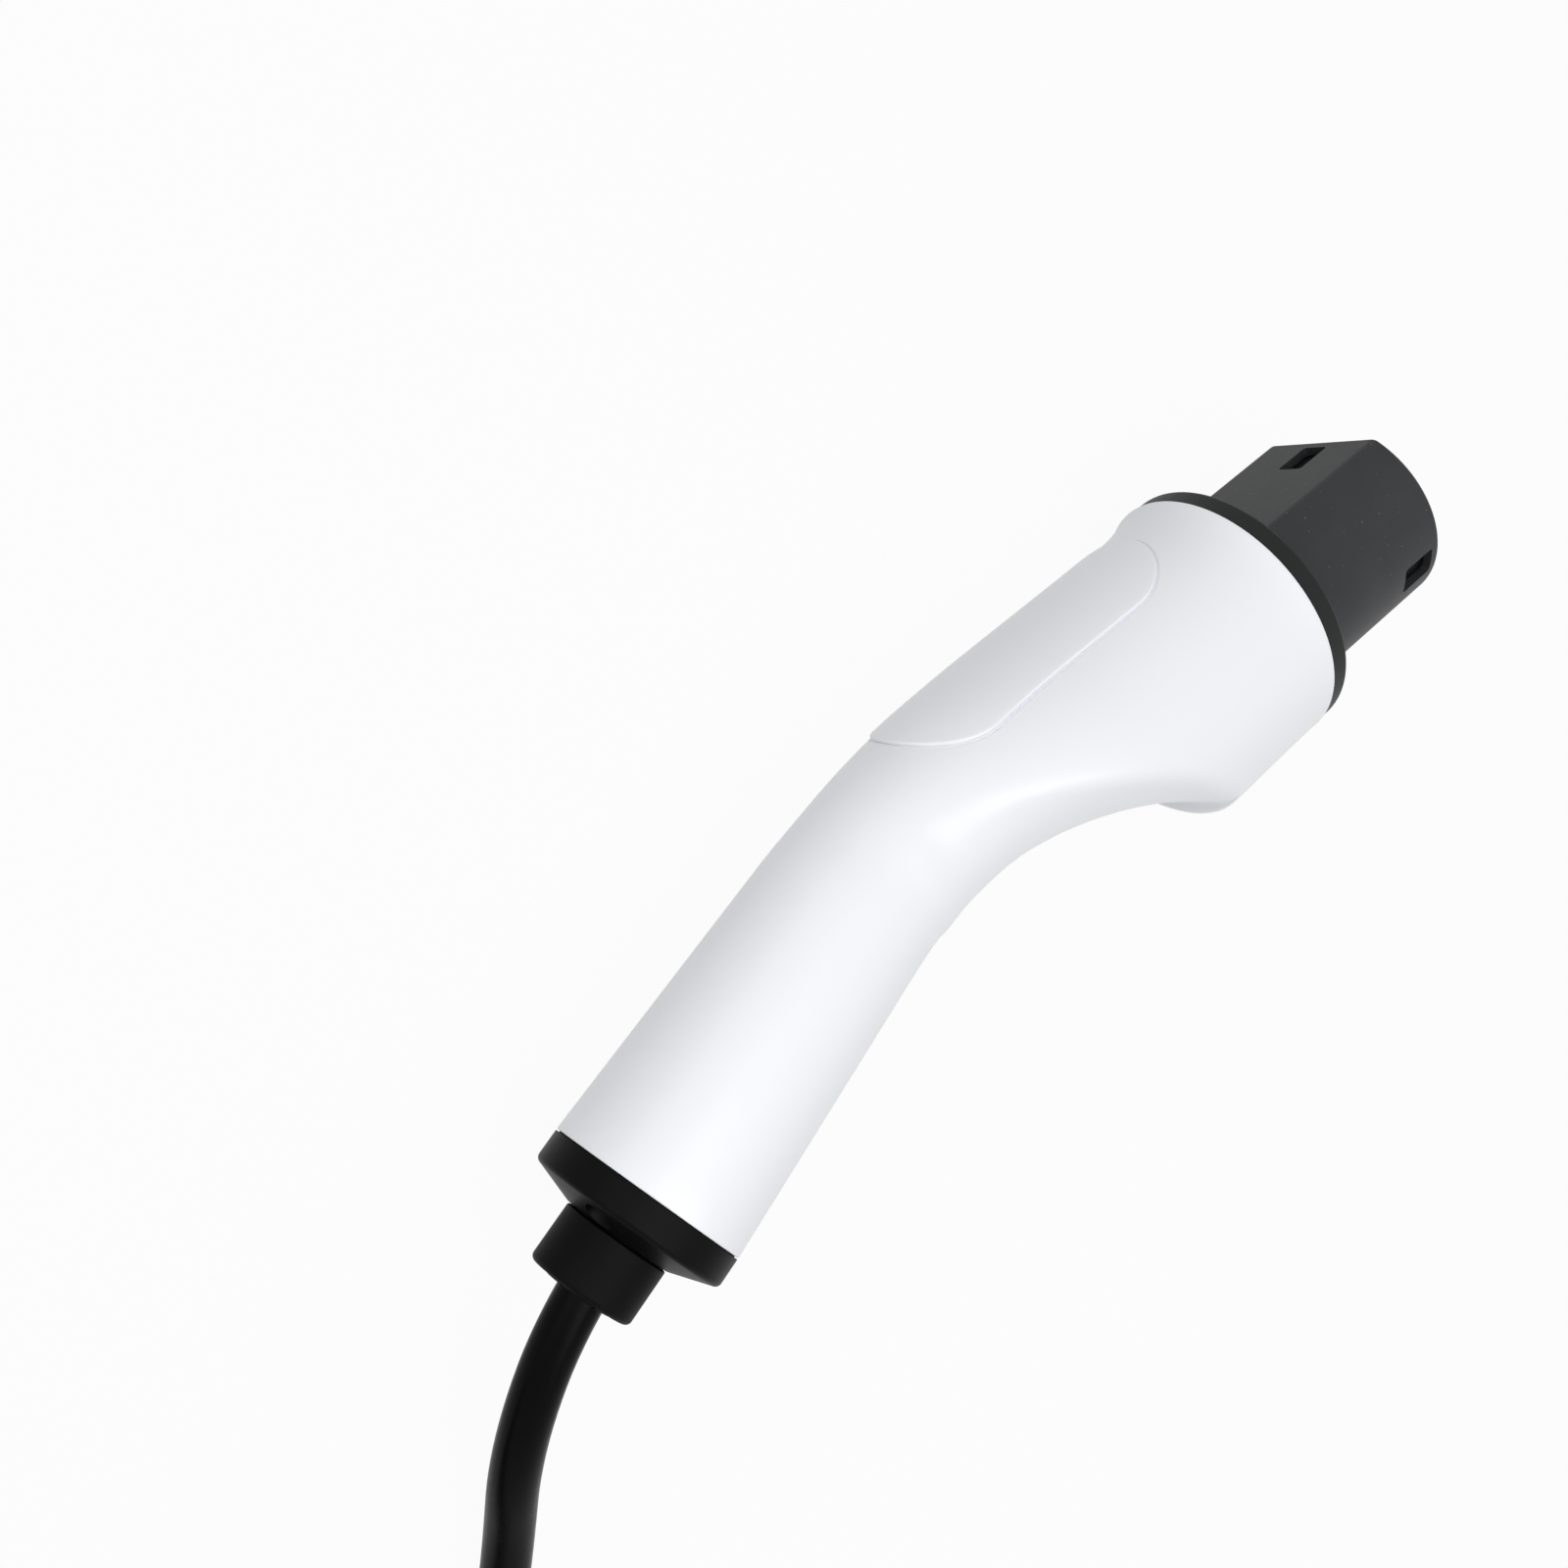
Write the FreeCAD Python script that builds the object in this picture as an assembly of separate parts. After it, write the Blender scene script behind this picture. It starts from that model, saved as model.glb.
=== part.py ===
import FreeCAD, Part
import math
import os

from FreeCAD import Placement, Rotation, Vector

# Charging connector: a bent one-piece shell, an open D-shaped nose with seven socket contacts, an
# end cap with a cable gland, and a short lead with a round plug on its far end. Millimetres.
# Drawn in the connector's own frame: +X out of the nose, +Z to the nose's flat, +Y to the left,
# x = 0 at the shell's front edge. The last section lays it on its left side on the floor, +Z up.

# Shell
rim_radius = 36.8             # front edge of the shell
rim_flare_length = 5.6        # how fast the flare of the front edge dies out along the top
top_height = 34.0             # top line of the shell above the nose axis
skirt_slope = 0.035           # widening of the skirt under the nose, per millimetre
neck_radius = 21.9            # thinnest place, behind the finger scallop
handle_end_radius = 25.1
bend_angle = 17.0             # handle against nose axis, degrees
bend_radius = 170.0
handle_end_x = -207.3         # centre of the handle's end
handle_end_z = -17.0
taper_start = 60.5            # the bell narrows to the neck between these stations
taper_end = 124.8
guard_tip = 35.0              # rear tip of the finger guard behind the front edge
guard_bottom = -32.1          # underside right behind the tip
throat_end = 95.9             # here the underside has reached the neck
throat_curve = 0.003
throat_runout_start = 112.0
throat_runout = 0.045
# Radius of the underside's round sections, by station: flat at the guard, round at the neck
underside_sections = ((31, 150), (36, 140), (39, 98), (43, 74), (48, 61), (54, 55), (60, 50.5), (67, 45.5),
                      (74, 40), (82, 34), (90, 29), (100, 24.8), (112, 22.4), (118, 22.2), (124, 22.3))
shell_wall = 2.8

# Thumb panel, a cover set into the top of the shell
panel_half_width = 19.7
panel_front_x = -14.6
panel_rear_x = -102.3
panel_proud = 0.8
panel_depth = 0.8
panel_gap = 0.12

# Nose
nose_radius = 28.0
nose_flat = 21.3
nose_front_x = 56.1
nose_wall = 3.0
nose_corner_round = 3.0
nose_rim_round = 0.9
flange_inset = 0.4            # flange inside the shell's front edge
flange_radius = rim_radius - flange_inset
flange_front_x = 6.4
flange_edge_round = 1.5
joint_gap = 0.8               # shell to flange and shell to end cap, filled by a recessed gasket
shroud_rear_step = 0.8        # the tube is thinner behind the flange
spigot_length = 12.0
spigot_wall = 2.0
spigot_clearance = 0.2
# The spigot fills the shell's front from its underside to its lower top line
spigot_below = rim_radius - shell_wall - spigot_clearance
spigot_above = min(rim_radius - spigot_clearance, top_height) - shell_wall
spigot_radius = (spigot_below + spigot_above) / 2
spigot_drop = (spigot_below - spigot_above) / 2
window_length = 11.3
window_width = 8.0
window_setback = 3.0
window_corner = 1.0
window_reach = 1.3             # the cut starts this far inside the flat's wall
window_angles = (0.0, 120.0, -120.0)
lug_length = 16.0
lug_width = 8.0
lug_y = 8.0
lug_foot = 22.4
nose_screw_setback = 9.0
nose_screw_radius = 1.5
nose_screw_head_radius = 3.0
nose_screw_head = 1.5
nose_screw_length = 10.0
screw_clearance = 0.05

# Contact carrier, contacts and retainer
carrier_fit = 0.15
carrier_front_x = 8.0
carrier_flange = 5.0
carrier_flange_radius = 30.4
carrier_flange_flat = 21.0
carrier_rear_x = -28.0
carrier_rear_radius = 24.0
carrier_rear_flat = 18.5
carrier_screw_pitch = 28.0
carrier_screw_angles = (180.0, 108.0, -108.0)
carrier_screw_radius = 1.1
carrier_screw_head_radius = 2.1
carrier_screw_head = 1.6
carrier_screw_length = 13.0
carrier_boss_radius = 2.9
tube_setback = 6.1            # socket sleeves end behind the nose's front edge
tube_lip = 1.6
sleeve_seat = 5.0              # sleeves sunk into the carrier's front
sleeve_chamfer = 0.5
sleeve_fit = 0.05
power_places = {"contact_n": (17.0, 0.0), "contact_l1": (-17.0, 0.0), "contact_l2": (-8.5, -14.7),
                "contact_l3": (8.5, -14.7), "contact_pe": (0.0, 0.0)}
signal_places = {"contact_cp": (8.5, 13.0), "contact_pp": (-8.5, 13.0)}
power_radius = 4.4
power_bore = 3.0
power_tube_radius = 5.8
signal_radius = 2.4
signal_bore = 1.5
signal_tube_radius = 4.2
contact_clearance = 0.2
entry_clearance = 0.4
socket_depth = 26.0
collar_step = 0.8
collar_length = 4.0
finger_slot = 0.8
finger_length = 18.0
crimp_length = 16.0
crimp_depth = 11.0
crimp_share = 0.8             # crimp barrel's radius against the contact's
crimp_clearance = 0.1
plate_thickness = 3.0
plate_screw_radius = 1.3
plate_screw_head_radius = 2.5
plate_screw_head = 1.8
plate_screw_length = 11.0
plate_screw_places = ((19.0, -10.8), (-19.0, -10.8), (0.0, 14.6))
resistor_radius = 1.2
resistor_length = 5.6
resistor_lead_radius = 0.35

# End cap, its screws and the gland, measured rearwards from the shell's end
cap_band_end = 8.2
cap_edge_round = 1.6
cap_cone = 3.6
cap_seat_radius = 13.9
cap_floor = 2.6
cap_spigot = 8.0
cap_spigot_clearance = 0.5
gasket_width = 1.9
gasket_recess = 0.9
gland_thread_radius = 9.9
gland_thread_end = 23.0
grommet_bore = 8.4
cable_clearance = 0.3
rubber_clearance = 0.05
cap_screw_pitch = 18.4
cap_screw_angles = (40.0, -40.0, 180.0)
cap_screw_radius = 1.5
cap_screw_head_radius = 3.1
cap_screw_head = 2.2
cap_screw_seat = 4.6
cap_screw_length = 21.0
cap_pocket_radius = 3.8
boss_radius = 4.6
shell_boss_length = 14.0
boss_gap = 0.5
gland_radius = 13.4
gland_start = 12.1
gland_end = 26.5
gland_round = 1.5
gland_lip = 2.6
gland_mouth = 9.0
thread_clearance = 0.15
clamp_teeth = 12
clamp_slot = 0.9
clamp_collar = 0.8
clamp_proud = 0.5

# Lead
cable_radius = 6.1
jacket_start = 9.0            # rearwards from the shell's end
wire_radius = 1.7
control_wire_radius = 1.1
wire_bend_x = -52.0
wire_waist = 105.0             # station where the wires run side by side
wire_ring = 3.5
wire_places = {"n": 72, "l3": 144, "l2": 216, "l1": 288, "cp": 0}
wire_entry_gap = 0.2
wire_end_gap = 0.3            # wires stop short of the jacket's cut end
floor_gap = 0.05
# The lead's route, as steps from the gland's end in the resting frame
first_turn = 14.0
lead_turns = ((-34.9, -31.5, -8.8), (-55.7, -70.3, -30.65), (-99.5, -114.1, -30.65))
coil_radius = 61.0
coil_stub = 24.0
tail_length = 50.0

# Far plug, measured forwards from its rear end
plug_length = 80.0
plug_nut_radius = 11.6
plug_nut_length = 18.0
plug_body_radius = 15.6
plug_body_start = 13.0
plug_sleeve_radius = 14.4
plug_sleeve_bore = 12.6
plug_ring_radius = 18.3
plug_ring_start = 48.0
plug_ring_end = 68.0
plug_ring_grooves = 12
plug_groove_width = 2.6
plug_groove_depth = 0.9
plug_insert_start = 44.0
plug_insert_end = 60.0
plug_pin_radius = 1.6
plug_pin_circle = 7.6
plug_pin_end = 76.0

beyond = 60.0                 # past every side of the connector, for cutting shapes

x_axis = Vector(1, 0, 0)
y_axis = Vector(0, 1, 0)
z_axis = Vector(0, 0, 1)
origin = Vector(0, 0, 0)


def cylinder(radius, x0, x1, y=0.0, z=0.0):
    return Part.makeCylinder(radius, x1 - x0, Vector(x0, y, z), x_axis)


def box(x0, x1, y0, y1, z0, z1):
    return Part.makeBox(x1 - x0, y1 - y0, z1 - z0, Vector(x0, y0, z0))


def outline(points):
    """Closed wire in the XZ plane through corners (x, z) or (x, z, rounding)."""
    corners = [(Vector(p[0], 0, p[1]), p[2] if len(p) > 2 else 0.0) for p in points]
    arcs, starts, ends = [], [], []
    for index, (corner, radius) in enumerate(corners):
        before = (corners[index - 1][0] - corner).normalize()
        after = (corners[(index + 1) % len(corners)][0] - corner).normalize()
        half = before.getAngle(after) / 2
        run = radius / math.tan(half)
        starts.append(corner + before * run)
        ends.append(corner + after * run)
        if radius:
            centre = corner + (before + after).normalize() * (radius / math.sin(half))
            middle = centre + (corner - centre).normalize() * radius
            arcs.append(Part.Arc(starts[-1], middle, ends[-1]).toShape())
        else:
            arcs.append(None)
    path = []
    for index, arc in enumerate(arcs):
        if arc:
            path.append(arc)
        path.append(Part.LineSegment(ends[index], starts[(index + 1) % len(starts)]).toShape())
    return Part.Wire(path)


def turned(points):
    """Solid of revolution about X of an outline in (x, radius)."""
    return Part.Face(outline(points)).revolve(origin, x_axis, 360)


def d_bar(radius, flat, x0, x1, corner_round=0.0):
    """Bar along X, round with one flat on top and rounded long edges."""
    reach = radius + 1
    bar = cylinder(radius, x0, x1).common(box(x0, x1, -reach, reach, -reach, flat))
    if corner_round:
        long_edges = [e for e in bar.Edges
                      if e.BoundBox.XLength > 0.9 * (x1 - x0) and e.BoundBox.ZMin > flat - 1e-3]
        bar = bar.makeFillet(corner_round, long_edges)
    return bar


def around(radius, degrees):
    """Place (y, z) at an angle from the top towards the right side."""
    angle = math.radians(degrees)
    return -radius * math.sin(angle), radius * math.cos(angle)


def tube(points, radius, name):
    """Round tube along straight runs joined by tangent arcs as large as the runs allow."""
    route = [Vector(*p) for p in points]
    edges, radii, here = [], [], route[0]
    for before, corner, after in zip(route, route[1:], route[2:]):
        inward, outward = before - corner, after - corner
        run = 0.45 * min(inward.Length, outward.Length)
        inward.normalize()
        outward.normalize()
        half = inward.getAngle(outward) / 2
        radii.append(run * math.tan(half))
        centre = corner + (inward + outward).normalize() * (run / math.cos(half))
        start, end = corner + inward * run, corner + outward * run
        middle = centre + (corner - centre).normalize() * radii[-1]
        edges.append(Part.LineSegment(here, start).toShape())
        edges.append(Part.Arc(start, middle, end).toShape())
        here = end
    edges.append(Part.LineSegment(here, route[-1]).toShape())
    path = Part.Wire(edges)
    section = Part.Wire(Part.Circle(route[0], route[1] - route[0], radius).toShape())
    solid = path.makePipeShell([section], True, False)
    ratio = solid.Volume / (math.pi * radius ** 2 * path.Length)
    print("%s: length %.1f, radii %s, volume over section by length %.4f"
          % (name, path.Length, " ".join("%.0f" % r for r in radii), ratio))
    return solid


# Reference line of the shell: straight at neck height, an arc, then straight to the handle's end
bend = math.radians(bend_angle)
neck_z = top_height - neck_radius
bend_corner_x = handle_end_x + (neck_z - handle_end_z) / math.tan(bend)
bend_run = bend_radius * math.tan(bend / 2)
bend_start = -bend_corner_x - bend_run
bend_end = bend_start + bend_radius * bend
handle_length = bend_end + (neck_z - handle_end_z) / math.sin(bend) - bend_run


def reference(station):
    """Point on the reference line and the tilt of the section there, in degrees."""
    if station <= bend_start:
        return Vector(-station, 0, neck_z), 0.0
    tilt = min((station - bend_start) / bend_radius, bend)
    straight = max(0.0, station - bend_end)
    x = -bend_start - bend_radius * math.sin(tilt) - straight * math.cos(tilt)
    z = neck_z - bend_radius * (1 - math.cos(tilt)) - straight * math.sin(tilt)
    return Vector(x, 0, z), math.degrees(tilt)


def ring_wire(station, radius, drop):
    """Round section of two half circles, its centre drop below the reference line."""
    point, tilt = reference(station)
    left, right = Vector(0, radius, -drop), Vector(0, -radius, -drop)
    halves = [Part.Arc(left, Vector(0, 0, radius - drop), right).toShape(),
              Part.Arc(right, Vector(0, 0, -radius - drop), left).toShape()]
    wire = Part.Wire(halves)
    wire.Placement = Placement(point, Rotation(y_axis, -tilt))
    return wire


def bell_section(station, inset):
    """Round section of the shell's outside, moved in by inset."""
    if station >= taper_end:
        share = (station - taper_end) / (handle_length - taper_end)
        return ring_wire(station, neck_radius + (handle_end_radius - neck_radius) * share - inset, 0.0)
    ahead = max(station, 0.0)
    top = top_height + (rim_radius - top_height) * math.exp(-ahead / rim_flare_length)
    full = (top + rim_radius + skirt_slope * ahead) / 2
    t = min(1.0, max(0.0, (station - taper_start) / (taper_end - taper_start)))
    radius = full + (neck_radius - full) * t * t * (3 - 2 * t)
    return ring_wire(station, radius - inset, neck_z - top + radius)


def bottom_drop(station):
    """Depth of the scalloped underside below the reference line; it leaves the neck again behind it."""
    flare = 2 * throat_curve * max(0.0, throat_end - station) ** 2
    return neck_radius + flare + throat_runout * max(0.0, station - throat_runout_start)


def shell_form(inset, overrun=0.0, plain=False):
    """Solid inside the shell's outside, moved in by inset; plain for unseen faces of few sections."""
    near = [0, 4, 15, 60, 80, 100, 120, 140] if plain else [0, 3, 8, 18, 40, 60, 73, 86, 100, 114, 128, 142]
    if overrun:
        near.insert(0, -overrun)
    grip = Part.makeLoft([bell_section(s, inset) for s in near], True, plain)
    far = [bell_section(near[-1], inset), bell_section(handle_length + overrun, inset)]
    body = grip.fuse(Part.makeLoft(far, True, True))
    rings = underside_sections[::2] if plain else underside_sections
    horn = Part.makeLoft([ring_wire(s, r - inset, bottom_drop(s) - r) for s, r in rings], True, True)
    far_x = reference(rings[-1][0])[0].x + 1
    scallop = box(far_x, inset - guard_tip, -beyond, beyond, -beyond, neck_z + neck_radius / 2).cut(horn)
    return body.cut(scallop)


# Frame of the handle's end: shapes drawn with +X rearwards from the shell's end are moved there
handle_frame = Placement(Vector(handle_end_x, 0, handle_end_z), Rotation(y_axis, -bend_angle))
rearwards = handle_frame.multiply(Placement(origin, Rotation(z_axis, 180)))


def on_handle(shape):
    moved = shape.copy()
    moved.Placement = rearwards.multiply(moved.Placement)
    return moved


nodes = {}

# Nose shroud: D-shaped tube with a round flange and a spigot ring that enters the shell
spigot = cylinder(spigot_radius, -spigot_length, joint_gap, 0, -spigot_drop)
spigot = spigot.cut(cylinder(spigot_radius - spigot_wall, -spigot_length, joint_gap, 0, -spigot_drop))
joint_disc = cylinder(rim_radius - shell_wall - spigot_clearance, 0.0, joint_gap)
flange = turned([(joint_gap, 0), (joint_gap, flange_radius),
                 (flange_front_x, flange_radius, flange_edge_round), (flange_front_x, 0)])
shroud = d_bar(nose_radius, nose_flat, joint_gap, nose_front_x, nose_corner_round)
rim = [e for e in shroud.Edges if e.BoundBox.XMin > nose_front_x - 1e-3]
shroud = shroud.makeFillet(nose_rim_round, rim)
shroud_rear = d_bar(nose_radius - shroud_rear_step, nose_flat - shroud_rear_step, -spigot_length, joint_gap)
shroud = shroud.fuse([flange, spigot, joint_disc, shroud_rear])
spigot_form = cylinder(spigot_radius, -spigot_length, joint_gap + 1, 0, -spigot_drop)
carrier_bosses = [cylinder(carrier_boss_radius, -spigot_length, joint_gap + 1, *around(carrier_screw_pitch, a))
                  .common(spigot_form) for a in carrier_screw_angles]
lug_form = shell_form(shell_wall + spigot_clearance, plain=True)
lugs = [box(-spigot_length - lug_length + 2, joint_gap + 1, side * lug_y - lug_width / 2,
            side * lug_y + lug_width / 2, lug_foot, beyond).common(lug_form) for side in (-1, 1)]
lug_roots = [box(-1, joint_gap + 1, side * lug_y - lug_width / 2, side * lug_y + lug_width / 2,
                 lug_foot, spigot_radius) for side in (-1, 1)]
shroud = shroud.fuse(carrier_bosses + lugs + [root.common(flange.fuse(joint_disc)) for root in lug_roots])
mouth = d_bar(nose_radius - nose_wall, nose_flat - nose_wall, -spigot_length - 1, nose_front_x + 1, 0.6)
window_x0 = nose_front_x - window_setback - window_length
window = box(window_x0, window_x0 + window_length, -window_width / 2, window_width / 2,
             nose_flat - nose_wall - window_reach, nose_radius + 1)
corners = [e for e in window.Edges if e.BoundBox.ZLength > window_reach]
window = window.makeFillet(window_corner, corners)
windows = []
for angle in window_angles:
    opening = window.copy()
    opening.rotate(origin, x_axis, angle)
    windows.append(opening)
carrier_screw_holes = [cylinder(carrier_screw_radius + screw_clearance, -spigot_length - 1, -1.0,
                                *around(carrier_screw_pitch, a)) for a in carrier_screw_angles]
nose_screw_x = -spigot_length - nose_screw_setback
nose_screw_top = top_height - panel_depth - 1.8
nose_screw_places = [Vector(nose_screw_x, side * lug_y, nose_screw_top) for side in (-1, 1)]
down = Vector(0, 0, -1)


def nose_screw(place, spare):
    """Countersunk screw, head up, grown all round by spare."""
    head = Part.makeCone(nose_screw_head_radius + spare, nose_screw_radius + spare, nose_screw_head, place, down)
    return head.fuse(Part.makeCylinder(nose_screw_radius + spare, nose_screw_length + 4 * spare, place, down))


head_access = [Part.makeCylinder(nose_screw_head_radius + screw_clearance, 5, place) for place in nose_screw_places]
lug_holes = [nose_screw(place, screw_clearance) for place in nose_screw_places] + head_access
shroud = shroud.cut([mouth] + windows + carrier_screw_holes + lug_holes)
nodes["nose_shroud"] = shroud

# Shell: hollow form with a recess for the panel and three screw bosses at the handle's end
outside = shell_form(0.0)
inside = shell_form(shell_wall, 1.0, True)


def stadium(half_width, x0, x1):
    """Upright prism with round ends along X."""
    a, b = x0 + half_width, x1 - half_width
    base = [Vector(a, -half_width, 0), Vector(b, -half_width, 0), Vector(x1, 0, 0), Vector(b, half_width, 0),
            Vector(a, half_width, 0), Vector(x0, 0, 0)]
    wire = Part.Wire([Part.LineSegment(base[0], base[1]).toShape(),
                      Part.Arc(base[1], base[2], base[3]).toShape(),
                      Part.LineSegment(base[3], base[4]).toShape(),
                      Part.Arc(base[4], base[5], base[0]).toShape()])
    return Part.Face(wire).extrude(Vector(0, 0, beyond))


panel_stadium = stadium(panel_half_width, panel_rear_x, panel_front_x)
recess_stadium = stadium(panel_half_width + panel_gap, panel_rear_x - panel_gap, panel_front_x + panel_gap)
panel_floor = shell_form(panel_depth)
recess = recess_stadium.cut(panel_floor)
shell_bosses = []
for angle in cap_screw_angles:
    y, z = around(cap_screw_pitch, angle)
    start = cap_spigot + boss_gap
    post = cylinder(boss_radius, start, start + shell_boss_length, y, z)
    post = post.cut(cylinder(cap_screw_radius + screw_clearance, start - 1, start + shell_boss_length - 1, y, z))
    post.Placement = handle_frame.multiply(Placement(Vector(0, 0, 0), Rotation()))
    shell_bosses.append(post)
shell = outside.cut(inside).cut([recess] + lug_holes)
shell = shell.fuse([post.common(outside) for post in shell_bosses])
nodes["housing_shell"] = shell

# Thumb panel
panel = panel_stadium.common(shell_form(-panel_proud)).cut(panel_floor)
nodes["thumb_panel"] = panel

# Nose screws under the panel
nodes["nose_screws"] = Part.makeCompound([nose_screw(place, 0.0) for place in nose_screw_places])

# Gasket in the joint between the flange and the shell
flange_gasket = cylinder(rim_radius - gasket_recess, 0.0, joint_gap)
nodes["flange_gasket"] = flange_gasket.cut(cylinder(rim_radius - gasket_recess - gasket_width, 0.0, joint_gap))

# Contact carrier: D-shaped block with a stop flange against the shroud's rear, and a seat for each sleeve
tube_x = nose_front_x - tube_setback
flange_x = -spigot_length - carrier_flange
plug_radius = nose_radius - nose_wall - carrier_fit
plug_flat = nose_flat - nose_wall - carrier_fit
carrier = d_bar(plug_radius, plug_flat, flange_x, carrier_front_x, 0.6)
carrier = carrier.fuse([d_bar(carrier_flange_radius, carrier_flange_flat, flange_x, -spigot_length),
                        d_bar(carrier_rear_radius, carrier_rear_flat, carrier_rear_x, flange_x)])
seat_x = carrier_front_x - sleeve_seat
bores = []
for group, places, sleeve_radius, body, bore in (
        ("power_sleeves", power_places, power_tube_radius, power_radius, power_bore),
        ("signal_sleeves", signal_places, signal_tube_radius, signal_radius, signal_bore)):
    hole, entry = body + contact_clearance, bore + entry_clearance
    sleeves = []
    for y, z in places.values():
        sleeve = turned([(seat_x, hole), (seat_x, sleeve_radius), (tube_x - sleeve_chamfer, sleeve_radius),
                         (tube_x, sleeve_radius - sleeve_chamfer), (tube_x, entry + 0.7),
                         (tube_x - 0.7, entry), (tube_x - tube_lip, entry), (tube_x - tube_lip, hole)])
        sleeve.translate(Vector(0, y, z))
        sleeves.append(sleeve)
        bores += [cylinder(hole, carrier_rear_x - 1, carrier_front_x + 1, y, z),
                  cylinder(hole + collar_step, carrier_rear_x - 1, carrier_rear_x + collar_length, y, z),
                  cylinder(sleeve_radius + sleeve_fit, seat_x, carrier_front_x + 1, y, z)]
    nodes[group] = Part.makeCompound(sleeves)


def pan_screw(radius, length, head_radius, head, x, y, z):
    """Pan-head screw along X with its head's underside at x, shank to the front."""
    shank = cylinder(radius, x - 0.5, x + length, y, z)
    cap = turned([(x - head, 0), (x - head, head_radius, head * 0.45), (x, head_radius), (x, 0)])
    cap.translate(Vector(0, y, z))
    slot = box(x - head - 1, x - head + 0.6, y - head_radius * 0.6, y + head_radius * 0.6, z - 0.4, z + 0.4)
    cross = slot.copy()
    cross.rotate(Vector(0, y, z), x_axis, 90)
    return cap.fuse(shank).cut([slot, cross])


flange_holes = [cylinder(carrier_screw_radius + 0.2, flange_x - 1, -spigot_length + 1,
                         *around(carrier_screw_pitch, a)) for a in carrier_screw_angles]
plate_x = carrier_rear_x - plate_thickness
plate_holes = [cylinder(plate_screw_radius + screw_clearance, carrier_rear_x - 1,
                        plate_x + plate_screw_length + 1, y, z) for y, z in plate_screw_places]
nodes["contact_carrier"] = carrier.cut(bores + flange_holes + plate_holes)
nodes["carrier_screws"] = Part.makeCompound(
    [pan_screw(carrier_screw_radius, carrier_screw_length, carrier_screw_head_radius, carrier_screw_head,
               flange_x, *around(carrier_screw_pitch, a)) for a in carrier_screw_angles])

# Retainer plate behind the contacts' collars
plate = d_bar(carrier_rear_radius, carrier_rear_flat, plate_x, carrier_rear_x)
exits = []
for places, body in ((power_places, power_radius), (signal_places, signal_radius)):
    exits += [cylinder(body * crimp_share + contact_clearance, plate_x - 1, carrier_rear_x + 1, y, z)
              for y, z in places.values()]
plate_screw_holes = [cylinder(plate_screw_radius + 0.2, plate_x - 1, carrier_rear_x + 1, y, z)
                     for y, z in plate_screw_places]
nodes["retainer_plate"] = plate.cut(exits + plate_screw_holes)
nodes["retainer_screws"] = Part.makeCompound(
    [pan_screw(plate_screw_radius, plate_screw_length, plate_screw_head_radius, plate_screw_head, plate_x, y, z)
     for y, z in plate_screw_places])


# Contacts: slotted socket in front, collar, crimp barrel behind
def contact(body, bore, wire, y, z):
    front = tube_x - tube_lip - 0.2
    barrel = body * crimp_share
    wire_bore = wire + crimp_clearance
    solid = turned([(front, bore), (front, body), (carrier_rear_x + collar_length, body),
                    (carrier_rear_x + collar_length, body + collar_step), (carrier_rear_x, body + collar_step),
                    (carrier_rear_x, barrel), (carrier_rear_x - crimp_length, barrel),
                    (carrier_rear_x - crimp_length, wire_bore),
                    (carrier_rear_x - crimp_length + crimp_depth, wire_bore),
                    (carrier_rear_x - crimp_length + crimp_depth, 0),
                    (front - socket_depth, 0), (front - socket_depth, bore)])
    slot = box(front - finger_length, front + 1, -body - 1, body + 1, -finger_slot / 2, finger_slot / 2)
    cross = slot.copy()
    cross.rotate(origin, x_axis, 90)
    solid = solid.cut([slot, cross])
    solid.translate(Vector(0, y, z))
    return solid


for name, (y, z) in power_places.items():
    nodes[name] = contact(power_radius, power_bore, wire_radius, y, z)
for name, (y, z) in signal_places.items():
    nodes[name] = contact(signal_radius, signal_bore, control_wire_radius, y, z)

# Resistor between the two signal and earth barrels
pp_y, pp_z = signal_places["contact_pp"]
span = math.hypot(pp_y, pp_z)
barrel_x = carrier_rear_x - crimp_length + 3
lead_turn = math.degrees(math.atan2(-pp_y, pp_z))
resistor = Part.makeCylinder(resistor_lead_radius, span, Vector(barrel_x, 0, 0), z_axis)
resistor = resistor.fuse(Part.makeCylinder(resistor_radius, resistor_length,
                                           Vector(barrel_x, 0, (span - resistor_length) / 2 + 0.6), z_axis))
resistor.rotate(origin, x_axis, lead_turn)
barrels = [cylinder(power_radius * crimp_share, barrel_x - 5, barrel_x + 5),
           cylinder(signal_radius * crimp_share, barrel_x - 5, barrel_x + 5, pp_y, pp_z)]
nodes["proximity_resistor"] = resistor.cut(barrels)

# End cap: spigot into the shell, band, shallow cone, threaded neck for the gland
neck_floor = cap_band_end + cap_cone - 1.2
cap_spigot_radius = handle_end_radius - shell_wall - cap_spigot_clearance
cap = turned([(-cap_spigot, cap_spigot_radius - spigot_wall),
              (-cap_spigot, cap_spigot_radius),
              (joint_gap, cap_spigot_radius),
              (joint_gap, handle_end_radius), (cap_band_end, handle_end_radius, cap_edge_round),
              (cap_band_end + cap_cone, cap_seat_radius, 0.4),
              (cap_band_end + cap_cone, gland_thread_radius), (gland_thread_end, gland_thread_radius),
              (gland_thread_end, grommet_bore), (neck_floor, grommet_bore),
              (neck_floor, cable_radius + cable_clearance), (neck_floor - cap_floor, cable_radius + cable_clearance),
              (neck_floor - cap_floor - 2.4, cap_spigot_radius - spigot_wall)])
core = turned([(-cap_spigot, 0), (-cap_spigot, cap_spigot_radius),
               (joint_gap, cap_spigot_radius), (joint_gap, handle_end_radius - 1),
               (cap_band_end - 0.5, handle_end_radius - 1), (cap_band_end - 0.5, 0)])
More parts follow.
